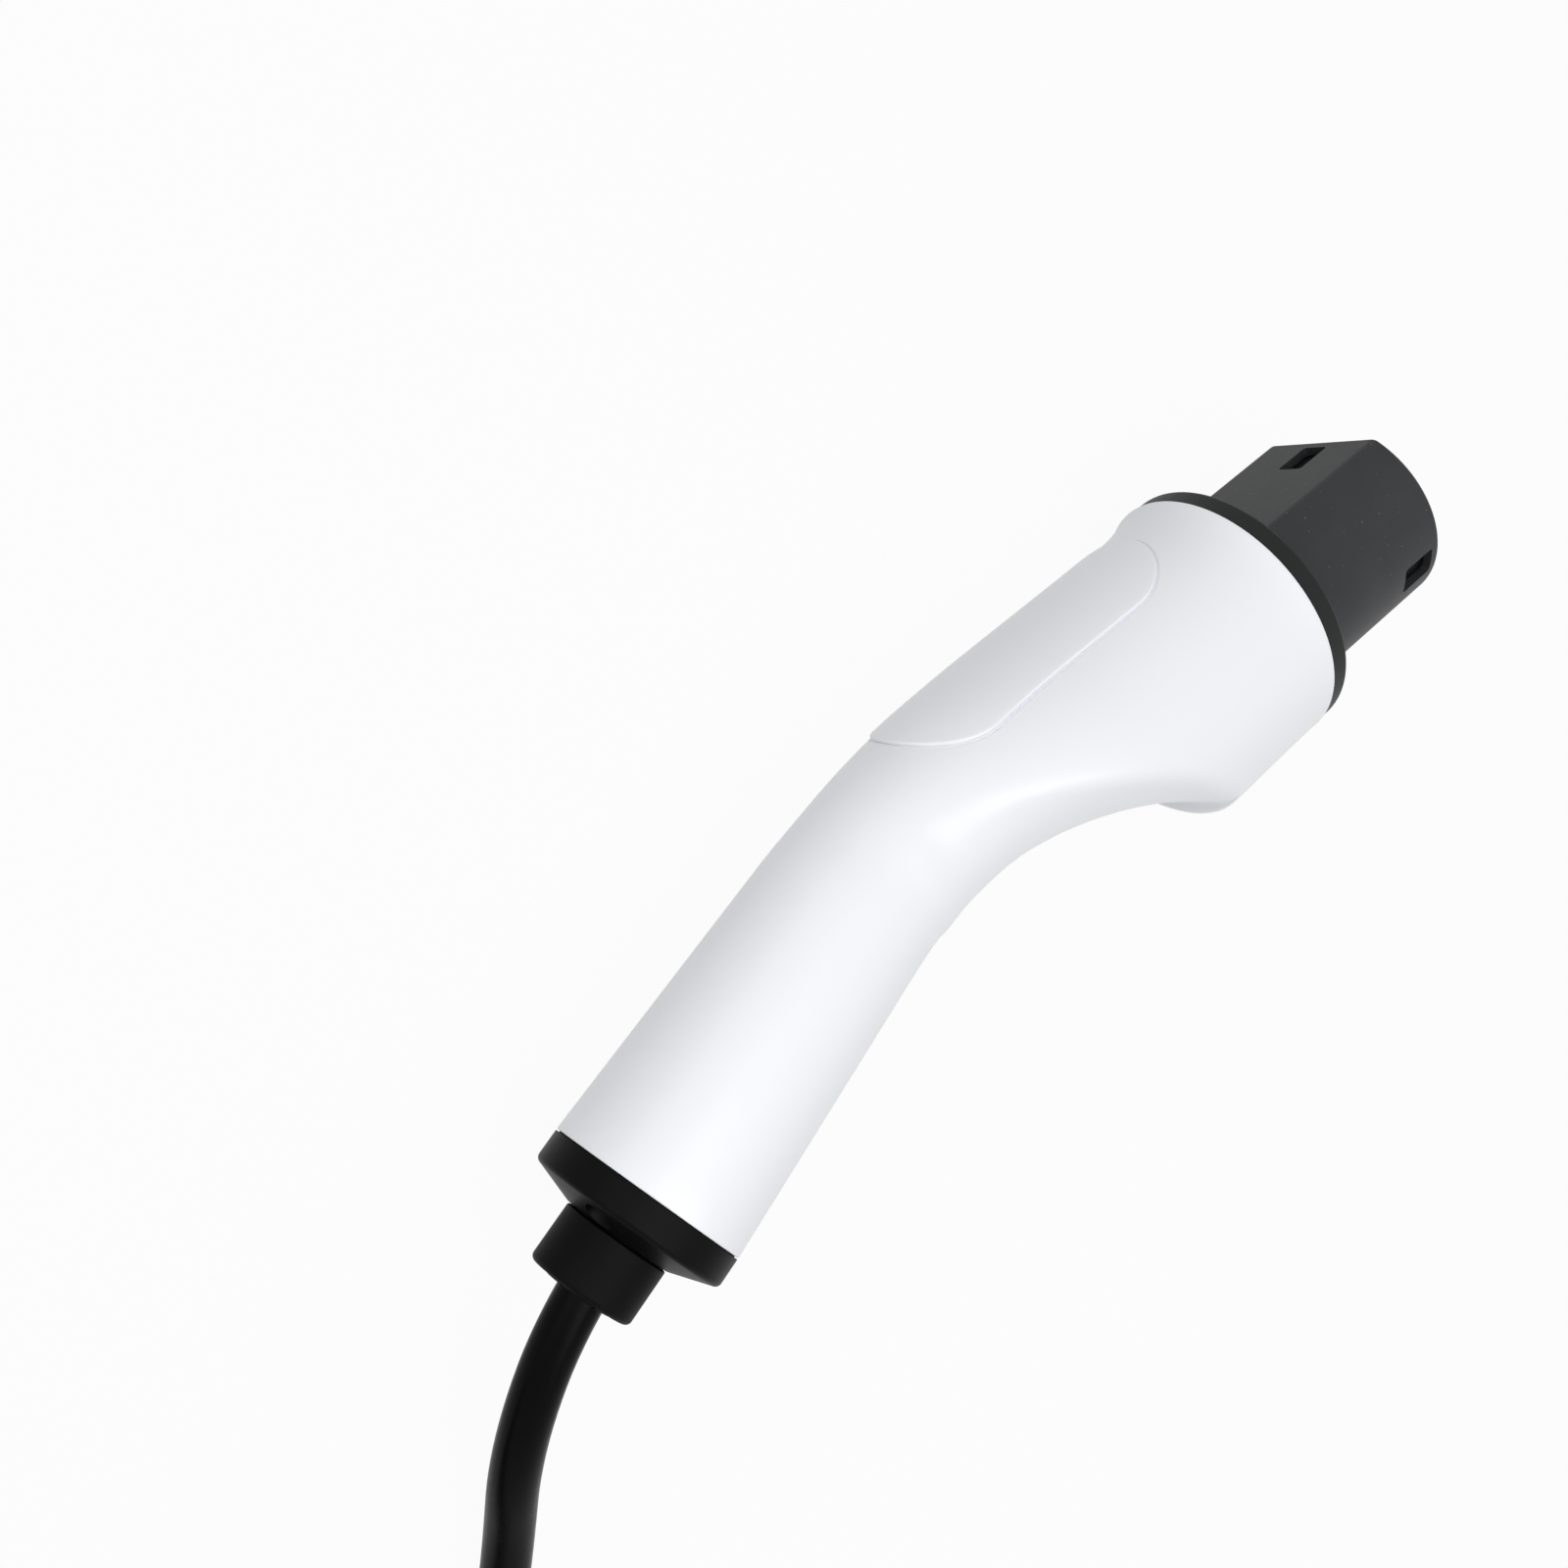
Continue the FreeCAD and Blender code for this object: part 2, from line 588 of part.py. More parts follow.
cap_posts, cap_cuts = [], []
for angle in cap_screw_angles:
    y, z = around(cap_screw_pitch, -angle)
    cap_posts.append(cylinder(boss_radius, -cap_spigot, cap_band_end - 1, y, z).common(core))
    cap_cuts.append(cylinder(cap_screw_radius + 0.2, -cap_spigot - 1, cap_band_end, y, z))
    pocket = cylinder(cap_pocket_radius, cap_screw_seat, cap_band_end + cap_cone + 1, y, z)
    cap_cuts.append(pocket)
cap = cap.fuse(cap_posts).cut(cap_cuts)
nodes["end_cap"] = on_handle(cap)
cap_screws = []
for angle in cap_screw_angles:
    y, z = around(cap_screw_pitch, -angle)
    screw = pan_screw(cap_screw_radius, cap_screw_length, cap_screw_head_radius, cap_screw_head, 0, 0, 0)
    screw.rotate(origin, z_axis, 180)
    screw.translate(Vector(cap_screw_seat, y, z))
    cap_screws.append(screw)
nodes["end_cap_screws"] = on_handle(Part.makeCompound(cap_screws))
cap_gasket = cylinder(handle_end_radius - gasket_recess, 0.0, joint_gap)
nodes["cap_gasket"] = on_handle(cap_gasket.cut(cylinder(handle_end_radius - gasket_recess - gasket_width,
                                                        0.0, joint_gap)))

# Cable gland: grommet in the neck, toothed clamp ring, nut
nodes["gland_grommet"] = on_handle(
    cylinder(grommet_bore - 0.1, neck_floor, gland_thread_end)
    .cut(cylinder(cable_radius + rubber_clearance, neck_floor, gland_thread_end)))
nut = turned([(gland_start, gland_thread_radius + thread_clearance), (gland_start, gland_radius, 0.5),
              (gland_end, gland_radius, gland_round), (gland_end, gland_mouth, 0.4),
              (gland_end - gland_lip, gland_mouth),
              (gland_end - gland_lip, gland_thread_radius + thread_clearance)])
nodes["gland_nut"] = on_handle(nut)
clamp_front = gland_end - gland_lip
clamp = turned([(clamp_front - clamp_collar, cable_radius + 0.1),
                (clamp_front - clamp_collar, gland_thread_radius - 0.2), (clamp_front, gland_thread_radius - 0.2),
                (clamp_front, gland_mouth - 0.2), (gland_end + clamp_proud, gland_mouth - 0.2, 0.4),
                (gland_end + clamp_proud, cable_radius + 0.1, 0.3)])
slots = []
for index in range(clamp_teeth):
    slot = box(clamp_front + 0.6, gland_end + 2, cable_radius - 1, gland_mouth + 1, -clamp_slot / 2, clamp_slot / 2)
    slot.rotate(origin, x_axis, 360 / clamp_teeth * index)
    slots.append(slot)
nodes["gland_clamp_ring"] = on_handle(clamp.cut(slots))

# Wires from the contacts to the jacket's end
jacket_end = wire_end_gap - jacket_start


def wire_route(contact_name, degrees, radius):
    y, z = {**power_places, **signal_places}[contact_name]
    across = wire_ring * math.sin(math.radians(degrees))
    up = wire_ring * math.cos(math.radians(degrees))
    if contact_name == "contact_pe":
        across, up = 0.0, 0.0
    start = carrier_rear_x - crimp_length + crimp_depth - wire_entry_gap
    point, tilt = reference(wire_waist)
    waist = Placement(point, Rotation(y_axis, -tilt)).multVec(Vector(0, across, up))
    far = handle_frame.multVec(Vector(jacket_end, across, up))
    return tube([(start, y, z), (wire_bend_x, y, z), tuple(waist), tuple(far)], radius, "wire to " + contact_name)


nodes["wire_pe"] = wire_route("contact_pe", 0, wire_radius)
for name, degrees in wire_places.items():
    nodes["wire_" + name] = wire_route("contact_" + name, degrees,
                                       control_wire_radius if name == "cp" else wire_radius)

# Lay the connector on its left side, centred on the origin without the lead
lying = Rotation(x_axis, -90)
for name, shape in nodes.items():
    shape.Placement = Placement(origin, lying).multiply(shape.Placement)
hull = Part.makeCompound(list(nodes.values())).optimalBoundingBox(False)
shift = Vector(-(hull.XMin + hull.XMax) / 2, -(hull.YMin + hull.YMax) / 2, -hull.ZMin)
resting = Placement(shift, lying)
for shape in nodes.values():
    shape.Placement = Placement(shift, Rotation()).multiply(shape.Placement)

# Lead: out of the gland, down to the floor, round a flat coil and to the far plug
gland_out = resting.multVec(rearwards.multVec(Vector(gland_end + clamp_proud, 0, 0)))
jacket_out = resting.multVec(rearwards.multVec(Vector(jacket_start, 0, 0)))
outwards = (gland_out - jacket_out).normalize()
floor_z = cable_radius + floor_gap
turns = [gland_out + outwards * first_turn] + [gland_out + Vector(*t) for t in lead_turns]
turns[-1].z = turns[-2].z = floor_z
arrival = (turns[-1] - turns[-2]).normalize()
coil_centre = turns[-1] + arrival.cross(z_axis) * coil_radius
layer = 2 * cable_radius
coil_section = Part.Wire([
    Part.Arc(Vector(coil_radius - cable_radius, 0, floor_z), Vector(coil_radius, 0, floor_gap),
             Vector(coil_radius + cable_radius, 0, floor_z)).toShape(),
    Part.LineSegment(Vector(coil_radius + cable_radius, 0, floor_z),
                     Vector(coil_radius + cable_radius, 0, floor_z + layer)).toShape(),
    Part.Arc(Vector(coil_radius + cable_radius, 0, floor_z + layer),
             Vector(coil_radius, 0, floor_z + layer + cable_radius),
             Vector(coil_radius - cable_radius, 0, floor_z + layer)).toShape(),
    Part.LineSegment(Vector(coil_radius - cable_radius, 0, floor_z + layer),
                     Vector(coil_radius - cable_radius, 0, floor_z)).toShape()])
coil = Part.Face(coil_section).revolve(origin, z_axis, 360)
coil.translate(Vector(coil_centre.x, coil_centre.y, 0))
entry = turns[-1] - arrival * coil_stub
leave = Vector(coil_centre.x - coil_radius, coil_centre.y, floor_z + layer)
coil = coil.fuse([Part.makeCylinder(cable_radius, coil_stub, entry, arrival),
                  Part.makeCylinder(cable_radius, coil_stub, leave, y_axis)])
nodes["cable_coil"] = coil
lead = tube([tuple(p) for p in [jacket_out] + turns[:-1] + [entry]], cable_radius, "cable_lead")
nodes["cable_lead"] = lead.cut(coil)
tail_start = leave + y_axis * coil_stub
tail_end = leave + y_axis * tail_length
nodes["cable_tail"] = Part.makeCylinder(cable_radius, tail_length - coil_stub, tail_start, y_axis).cut(coil)
plug_place = Placement(tail_end, Rotation(z_axis, 90))


def on_plug(shape):
    moved = shape.copy()
    moved.Placement = plug_place.multiply(moved.Placement)
    return moved


plug_nut = turned([(0, cable_radius + 0.1), (0, plug_nut_radius - 2.0), (2.0, plug_nut_radius),
                   (plug_nut_length, plug_nut_radius), (plug_nut_length, 9.0), (7.0, 9.0),
                   (7.0, cable_radius + 0.1)])
nodes["plug_nut"] = on_plug(plug_nut)
plug_body = turned([(plug_body_start - 4, cable_radius + 0.3), (plug_body_start - 4, 8.8),
                    (plug_nut_length + 0.4, 8.8), (plug_nut_length + 0.4, plug_body_radius - 2.5),
                    (plug_nut_length + 2.9, plug_body_radius),
                    (plug_ring_start - 0.4, plug_body_radius), (plug_ring_start - 0.4, plug_sleeve_radius),
                    (plug_length - 0.6, plug_sleeve_radius), (plug_length, plug_sleeve_radius - 0.6),
                    (plug_length, plug_sleeve_bore),
                    (plug_insert_start, plug_sleeve_bore), (plug_insert_start, 10.5),
                    (plug_nut_length + 4, 10.5), (plug_nut_length + 4, cable_radius + 0.3)])
nodes["plug_housing"] = on_plug(plug_body)
grip_ring = turned([(plug_ring_start, plug_sleeve_radius + 0.2), (plug_ring_start, plug_ring_radius - 1.0),
                    (plug_ring_start + 1.0, plug_ring_radius), (plug_ring_end - 1.0, plug_ring_radius),
                    (plug_ring_end, plug_ring_radius - 1.0), (plug_ring_end, plug_sleeve_radius + 0.2)])
ring_grooves = []
for index in range(plug_ring_grooves):
    groove = box(plug_ring_start + 3, plug_ring_end + 1, -plug_groove_width / 2, plug_groove_width / 2,
                 plug_ring_radius - plug_groove_depth, plug_ring_radius + 1)
    groove.rotate(origin, x_axis, 360 / plug_ring_grooves * (index + 0.5))
    ring_grooves.append(groove)
nodes["plug_ring"] = on_plug(grip_ring.cut(ring_grooves))
pins, pin_holes = [], []
for index in range(5):
    y, z = around(plug_pin_circle, 72 * index)
    pin = turned([(plug_insert_start - 8, 0), (plug_insert_start - 8, plug_pin_radius),
                  (plug_pin_end, plug_pin_radius, 0.7), (plug_pin_end, 0)])
    pin.translate(Vector(0, y, z))
    pins.append(pin)
    pin_holes.append(cylinder(plug_pin_radius + 0.05, plug_insert_start - 1, plug_insert_end + 1, y, z))
nodes["plug_insert"] = on_plug(cylinder(plug_sleeve_bore - 0.1, plug_insert_start, plug_insert_end).cut(pin_holes))
nodes["plug_pins"] = on_plug(Part.makeCompound(pins))

os.makedirs("parts", exist_ok=True)
for name, shape in nodes.items():
    shape.exportStep("parts/%s.step" % name)
print("shift %.3f %.3f %.3f" % tuple(shift))
print("gland %.3f %.3f %.3f" % tuple(gland_out), "out %.4f %.4f %.4f" % tuple(outwards))
for point in [jacket_out] + turns + [coil_centre, leave, tail_end]:
    print("route %.2f %.2f %.2f" % tuple(point))
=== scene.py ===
import math

import bmesh
import bpy
from mathutils import Matrix, Vector


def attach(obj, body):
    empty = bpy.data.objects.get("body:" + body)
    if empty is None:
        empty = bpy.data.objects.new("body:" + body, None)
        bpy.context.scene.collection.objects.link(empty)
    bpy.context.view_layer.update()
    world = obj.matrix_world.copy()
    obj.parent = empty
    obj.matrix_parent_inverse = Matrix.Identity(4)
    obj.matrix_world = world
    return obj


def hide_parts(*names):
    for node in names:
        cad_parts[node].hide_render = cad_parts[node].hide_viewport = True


bl_info = {
    "name": "Charging connector",
    "version": (1, 0, 0),
    "blender": (4, 5, 0),
    "location": "View3D > Sidebar > Charging connector",
    "description": "Dresses the charging connector and its lead: shell, nose, cap, gland and cable",
    "category": "Object",
}

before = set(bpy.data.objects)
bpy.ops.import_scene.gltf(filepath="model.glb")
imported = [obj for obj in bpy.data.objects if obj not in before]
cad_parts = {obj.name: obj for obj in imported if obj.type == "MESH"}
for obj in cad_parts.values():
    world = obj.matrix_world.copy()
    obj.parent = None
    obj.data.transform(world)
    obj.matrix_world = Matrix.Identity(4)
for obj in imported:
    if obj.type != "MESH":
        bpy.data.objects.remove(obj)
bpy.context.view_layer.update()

# The connector's own frame, in millimetres: +X out of the nose, +Z to the nose's flat, x = 0 at
# the shell's front edge. It lies on its left side: lying() turns a point of it to where it rests.
SHIFT = (90.043, 3.165, 36.8)

# The shell's form. A station is a length along its middle line, rearwards from the front edge.
RIM_RADIUS = 36.8
RIM_FLARE = 5.6
TOP_HEIGHT = 34.0
SKIRT_SLOPE = 0.035
NECK_RADIUS = 21.9
HANDLE_END_RADIUS = 25.1
BEND = math.radians(17.0)
BEND_RADIUS = 170.0
HANDLE_END = (-207.3, -17.0)
TAPER = (60.5, 124.8)
ROUND_FROM = 130.0
WALL = 2.8
NECK_Z = TOP_HEIGHT - NECK_RADIUS
CORNER_X = HANDLE_END[0] + (NECK_Z - HANDLE_END[1]) / math.tan(BEND)
BEND_RUN = BEND_RADIUS * math.tan(BEND / 2)
BEND_START = -CORNER_X - BEND_RUN
BEND_END = BEND_START + BEND_RADIUS * BEND
HANDLE_LENGTH = BEND_END + (NECK_Z - HANDLE_END[1]) / math.sin(BEND) - BEND_RUN

# The finger scallop: the guard's tip, then (station, radius) of the underside's round sections
GUARD_TIP = 35.0
GUARD_STEP = 6.0
GUARD_CORNER = 3.0
GUARD_FOOT = 1.5
THROAT_END = 95.9
THROAT_CURVE = 0.003
RUNOUT_START = 112.0
RUNOUT = 0.045
UNDERSIDE = ((31, 150), (36, 140), (39, 98), (43, 74), (48, 61), (54, 55), (60, 50.5), (67, 45.5),
             (74, 40), (82, 34), (90, 29), (100, 24.8), (112, 22.4), (124, 22.3))
# The crease has its full width this far ahead of where it has narrowed to nothing
CREASE_RUN = 55.0
CREASE_LEAST = 0.01

# The shell's rings: close together at the flare and along the scallop, wider on the handle
SHELL_SIDES = 192
RIM_STATIONS = (0.7, 1.8, 3.0, 4.4, 6, 8, 10.5, 13.5, 17, 21, 25, 29, 31.5)
SCALLOP_START = 38.5
SCALLOP_STEP = 2.5
HANDLE_START = 150.0
HANDLE_STEP = 6.0
HANDLE_MARGIN = 2
INNER_MARGIN = 6
INNER_STEP = 8
INNER_GUARD = 40
INNER_FRONT = ((37.8, 1.0), (34.0, 0.0), (20, 0.0), (8, 0.0), (3, 0.0))

# The thumb panel, its seat in the shell and the groove round it
PANEL_HALF_WIDTH = 19.7
PANEL_FRONT = -14.6
PANEL_REAR = -102.3
PANEL_PROUD = 0.8
PANEL_DEPTH = 0.8
# How far inwards from its outline the panel's rings lie, on its underside and its top
PANEL_UNDER = (PANEL_HALF_WIDTH, 13.0, 6.5, 0.0)
PANEL_TOP = (1.2, 2.2, 3.6, 5.5, 8.0, 11.0, 14.0, 17.0, PANEL_HALF_WIDTH)
SEAT_MARGIN = 4.2
SEAT_GAP = 0.05
END_STEPS = 48
SIDE_STEPS = 40
GROOVE_SIDES = 10
GROOVE_OFFSET = 0.6
SHARP_ANGLE = math.radians(32)

# The nose: its grain starts just in front of the flange
FLANGE_FRONT = 6.4
GRAIN_START = FLANGE_FRONT + 0.05
NOSE_RADIUS = 28.0
NOSE_FLAT = 21.3
NOSE_FRONT = 56.1
NOSE_WALL = 3.0
WINDOW_LENGTH = 11.3
WINDOW_WIDTH = 8.0
WINDOW_SETBACK = 3.0
WINDOW_ANGLES = (0, 120, -120)
# Black sheets of painted shade behind the windows: how thick, how far past a window's edges, how
# far out into the wall
SHADE_SHEET_THICKNESS = 0.6
SHADE_SHEET_BITE = 0.4
SHADE_SHEET_SINK = 0.15

# The lead's route, metres, from inside the gland to the far plug
LEAD_START = ((-0.12587, -0.01647, 0.0368), (-0.14694, -0.02291, 0.0368),
              (-0.17307, -0.0454, 0.03042), (-0.18841, -0.07817, 0.01194),
              (-0.20539, -0.10159, 0.00646), (-0.24258, -0.13583, 0.00615))
COIL_CENTRE = (-0.28571, -0.09270)
COIL_RADIUS = 0.061
COIL_TURNS = 1.375
COIL_STEPS = 22
FLOOR_LAYER = 0.00615
UPPER_LAYER = 0.01835
RISE_BEFORE = 7
RISE_STEPS = 6
COIL_RUN_OUT = 0.008
PLUG_RUN_IN = 0.012
PLUG_INSIDE = 0.008
PLUG_END = (-0.34671, -0.04270, 0.01835)

# The photograph's view: the camera's own axes and place, metres
CAMERA_RIGHT = (0.7346, -0.4612, 0.4977)
CAMERA_UP = (0.5828, 0.8045, -0.1147)
CAMERA_BACK = (-0.3475, 0.3743, 0.8598)
CAMERA_PLACE = (-0.179557, 0.195165, 0.384)
CAMERA_LENS = 40.5
CAMERA_WIDTH = 36.0

# The studio: where the lamps stand and point, their sizes, and how white the surroundings look
LIT_POINT = (0.0, 0.0, 0.03)
KEY_PLACE = (-0.55, 1.0, 0.8)
KEY_SIZE = (1.3, 0.9)
FILL_PLACE = (-0.25, -0.03, 1.12)
FILL_SIZE = (1.3, 0.5)
FLOOR_HALF = 4.0
FLOOR_WHITE = 0.95
AIR_WHITE = 0.97


def linear(code):
    """sRGB hex code to linear red, green, blue, alpha."""
    values = [int(code[i:i + 2], 16) / 255 for i in (1, 3, 5)]
    return tuple(v / 12.92 if v <= 0.04045 else ((v + 0.055) / 1.055) ** 2.4
                 for v in values) + (1.0,)


def lying(x, y, z):
    """Where a point of the connector's own frame rests, in metres."""
    return Vector((x + SHIFT[0], z + SHIFT[1], SHIFT[2] - y)) / 1000


def eased(share):
    """0 to 1 with a soft start and end."""
    return share * share * (3 - 2 * share)


class ShellSettings(bpy.types.PropertyGroup):
    colour: bpy.props.FloatVectorProperty(
        name="Colour", description="White of the shell and the thumb panel", subtype="COLOR",
        size=4, min=0, max=1, default=linear("#F0F2F6"))
    roughness: bpy.props.FloatProperty(
        name="Roughness", description="Roughness of the polished shell", subtype="FACTOR",
        min=0, max=1, default=0.36)
    edge: bpy.props.FloatProperty(
        name="Edge round", description="Rounding of the shell's two open edges", unit="LENGTH",
        min=0.0002, max=0.0014, default=0.0004)
    overrun: bpy.props.FloatProperty(
        name="Overrun", description="How far each open edge stands into its joint",
        unit="LENGTH", min=0, max=0.0006, default=0.00045)
    groove: bpy.props.FloatProperty(
        name="Groove", description="Radius of the groove round the thumb panel", unit="LENGTH",
        min=0.0001, max=0.0006, default=0.00045)
    panel_edge: bpy.props.FloatProperty(
        name="Panel edge", description="Rounding of the thumb panel's edge", unit="LENGTH",
        min=0.0002, max=0.0008, default=0.0005)
    crease: bpy.props.FloatProperty(
        name="Crease", description="Width over which the flank turns into the finger scallop",
        unit="LENGTH", min=0.0005, max=0.01, default=0.0038)


class NoseSettings(bpy.types.PropertyGroup):
    colour: bpy.props.FloatVectorProperty(
        name="Colour", description="Dark grey of the moulded nose", subtype="COLOR", size=4,
        min=0, max=1, default=linear("#28292B"))
    flange: bpy.props.FloatVectorProperty(
        name="Flange", description="Black of the smooth flange", subtype="COLOR", size=4,
        min=0, max=1, default=linear("#131415"))
    speck: bpy.props.FloatProperty(
        name="Speck size", description="Size of the pale fibre specks in the nose",
        unit="LENGTH", min=0.0001, max=0.002, default=0.0006)


class CapSettings(bpy.types.PropertyGroup):
    colour: bpy.props.FloatVectorProperty(
        name="Colour", description="Black of the end cap and the gland", subtype="COLOR", size=4,
        min=0, max=1, default=linear("#060607"))


class LeadSettings(bpy.types.PropertyGroup):
    colour: bpy.props.FloatVectorProperty(
        name="Colour", description="Black of the cable's sheath", subtype="COLOR", size=4,
        min=0, max=1, default=linear("#040405"))
    diameter: bpy.props.FloatProperty(
        name="Diameter", description="Outside diameter of the cable", unit="LENGTH",
        min=0.004, max=0.02, default=0.0122)


class StageSettings(bpy.types.PropertyGroup):
    floor_colour: bpy.props.FloatVectorProperty(
        name="Floor", description="Pale floor, as the object is lit by it", subtype="COLOR",
        size=4, min=0, max=1, default=linear("#B4B4B4"))
    key_power: bpy.props.FloatProperty(
        name="Key light", description="Power of the big soft light on the back", unit="POWER",
        min=0, default=3.4)
    fill_power: bpy.props.FloatProperty(
        name="Fill light", description="Power of the broad light above, which draws the band "
        "along the bell", unit="POWER", min=0, default=6.0)
    air: bpy.props.FloatProperty(
        name="Air", description="Strength of the even light from all round", min=0, max=2,
        default=0.52)


def add(tree, kind, links=(), **settings):
    """One node with its settings; links holds a value or another node's socket for each input."""
    node = tree.nodes.new(kind)
    for name, value in settings.items():
        setattr(node, name, value)
    for name, value in dict(links).items():
        if isinstance(value, bpy.types.NodeSocket):
            tree.links.new(value, node.inputs[name])
        else:
            node.inputs[name].default_value = value
    return node


def new_material(name):
    """Empty material; returns it, its tree and the Object coordinates in metres."""
    material = bpy.data.materials.new(name)
    material.use_nodes = True
    tree = material.node_tree
    tree.nodes.clear()
    place = add(tree, "ShaderNodeTexCoord").outputs["Object"]
    return material, tree, place


def surface(tree, shader):
    """The material's output."""
    add(tree, "ShaderNodeOutputMaterial", {"Surface": shader.outputs[0]})


def seen_directly(tree):
    """1 where the camera, a reflection or a look through glass meets the white surroundings."""
    rays = add(tree, "ShaderNodeLightPath").outputs
    seen = add(tree, "ShaderNodeMath", {0: rays["Is Camera Ray"], 1: rays["Is Glossy Ray"]},
               operation="MAXIMUM")
    through = add(tree, "ShaderNodeMath",
                  {0: seen.outputs["Value"], 1: rays["Is Transmission Ray"]}, operation="MAXIMUM")
    return through.outputs["Value"]


def polished_polycarbonate(settings):
    """Injection-moulded polycarbonate blend off a polished tool: soft highlights, faint waves."""
    material, tree, place = new_material("polished_polycarbonate")
    # Sink marks about 20 mm apart, and haze in patches of about 6 mm
    sink = add(tree, "ShaderNodeTexNoise", {"Vector": place, "Scale": 45.0, "Detail": 1.0})
    haze = add(tree, "ShaderNodeTexNoise", {"Vector": place, "Scale": 160.0, "Detail": 3.0})
    rough = add(tree, "ShaderNodeMapRange", {
        "Value": haze.outputs["Fac"], "To Min": settings.roughness - 0.03,
        "To Max": settings.roughness + 0.05})
    wave = add(tree, "ShaderNodeBump", {
        "Height": sink.outputs["Fac"], "Strength": 0.05, "Distance": 0.0004})
    plastic = add(tree, "ShaderNodeBsdfPrincipled", {
        "Base Color": settings.colour, "Roughness": rough.outputs["Result"], "IOR": 1.54,
        "Coat Weight": 0.07, "Coat Roughness": 0.16, "Normal": wave.outputs["Normal"]})
    surface(tree, plastic)
    return material


def glass_filled_nylon(settings):
    """Glass-filled nylon off an eroded tool: satin, fine even grain, scattered fibre specks."""
    material, tree, place = new_material("glass_filled_nylon")
    # Spark-eroded grain of about 0.25 mm, drawn at 0.5 mm so that it shows
    grain = add(tree, "ShaderNodeTexNoise", {
        "Vector": place, "Scale": 1 / 0.0005, "Detail": 3.0})
    # Flow patches about 15 mm wide
    cloud = add(tree, "ShaderNodeTexNoise", {"Vector": place, "Scale": 70.0, "Detail": 4.0})
    # Fibre ends a quarter of a millimetre wide, drawn at twice that so that they show
    dots = add(tree, "ShaderNodeTexVoronoi", {"Vector": place, "Scale": 0.3 / settings.speck})
    speck = add(tree, "ShaderNodeMapRange", {
        "Value": dots.outputs["Distance"], "From Min": 0.08, "From Max": 0.16,
        "To Min": 1.0, "To Max": 0.0})
    picked = add(tree, "ShaderNodeSeparateColor", {"Color": dots.outputs["Color"]})
    few = add(tree, "ShaderNodeMapRange", {
        "Value": picked.outputs["Red"], "From Min": 0.55, "From Max": 1.0})
    shown = add(tree, "ShaderNodeMath", {0: speck.outputs["Result"], 1: few.outputs["Result"]},
                operation="MULTIPLY")
    base = add(tree, "ShaderNodeMixRGB", {
        "Fac": cloud.outputs["Fac"], "Color1": settings.colour, "Color2": linear("#363739")})
    tint = add(tree, "ShaderNodeMixRGB", {
        "Fac": shown.outputs["Value"], "Color1": base.outputs["Color"],
        "Color2": linear("#5C5D5F")})
    # The grain is on the tube alone: the flange and all behind it are smooth and darker
    along = add(tree, "ShaderNodeSeparateXYZ", {"Vector": place})
    tube = add(tree, "ShaderNodeMath", {
        0: along.outputs["X"], 1: lying(GRAIN_START, 0, 0).x}, operation="GREATER_THAN")
    colour = add(tree, "ShaderNodeMixRGB", {
        "Fac": tube.outputs["Value"], "Color1": settings.flange, "Color2": tint.outputs["Color"]})
    rough = add(tree, "ShaderNodeMapRange", {
        "Value": grain.outputs["Fac"], "To Min": 0.42, "To Max": 0.6})
    bump = add(tree, "ShaderNodeBump", {
        "Height": grain.outputs["Fac"], "Strength": tube.outputs["Value"], "Distance": 0.00003})
    plastic = add(tree, "ShaderNodeBsdfPrincipled", {
        "Base Color": colour.outputs["Color"], "Roughness": rough.outputs["Result"], "IOR": 1.53,
        "Specular IOR Level": 0.22, "Normal": bump.outputs["Normal"]})
    surface(tree, plastic)
    return material


def moulded_nylon(name, colour, grain_size, roughness):
    """Nylon off a finely blasted tool: dull satin, a trace of grain, slightly uneven sheen."""
    material, tree, place = new_material(name)
    grain = add(tree, "ShaderNodeTexNoise", {
        "Vector": place, "Scale": 1 / grain_size, "Detail": 2.0})
    # The sheen changes over about 10 mm
    patch = add(tree, "ShaderNodeTexNoise", {"Vector": place, "Scale": 90.0, "Detail": 3.0})
    rough = add(tree, "ShaderNodeMapRange", {
        "Value": patch.outputs["Fac"], "To Min": roughness - 0.06, "To Max": roughness + 0.08})
    bump = add(tree, "ShaderNodeBump", {
        "Height": grain.outputs["Fac"], "Strength": 0.2, "Distance": 0.00006})
    plastic = add(tree, "ShaderNodeBsdfPrincipled", {
        "Base Color": colour, "Roughness": rough.outputs["Result"], "IOR": 1.53,
        "Specular IOR Level": 0.06, "Normal": bump.outputs["Normal"]})
    surface(tree, plastic)
    return material


def cable_sheath(settings):
    """Extruded polyurethane sheath: smooth, slightly oily, faint ripples from the cores."""
    material, tree, place = new_material("cable_sheath")
    # The cores' lay shows about every 15 mm; handling marks are about 2 mm
    ripple = add(tree, "ShaderNodeTexNoise", {"Vector": place, "Scale": 60.0, "Detail": 2.0})
    dust = add(tree, "ShaderNodeTexNoise", {"Vector": place, "Scale": 500.0, "Detail": 4.0})
    rough = add(tree, "ShaderNodeMapRange", {
        "Value": dust.outputs["Fac"], "To Min": 0.22, "To Max": 0.38})
    bump = add(tree, "ShaderNodeBump", {
        "Height": ripple.outputs["Fac"], "Strength": 0.05, "Distance": 0.0006})
    rubber = add(tree, "ShaderNodeBsdfPrincipled", {
        "Base Color": settings.colour, "Roughness": rough.outputs["Result"], "IOR": 1.5,
        "Specular IOR Level": 0.05, "Normal": bump.outputs["Normal"]})
    surface(tree, rubber)
    return material


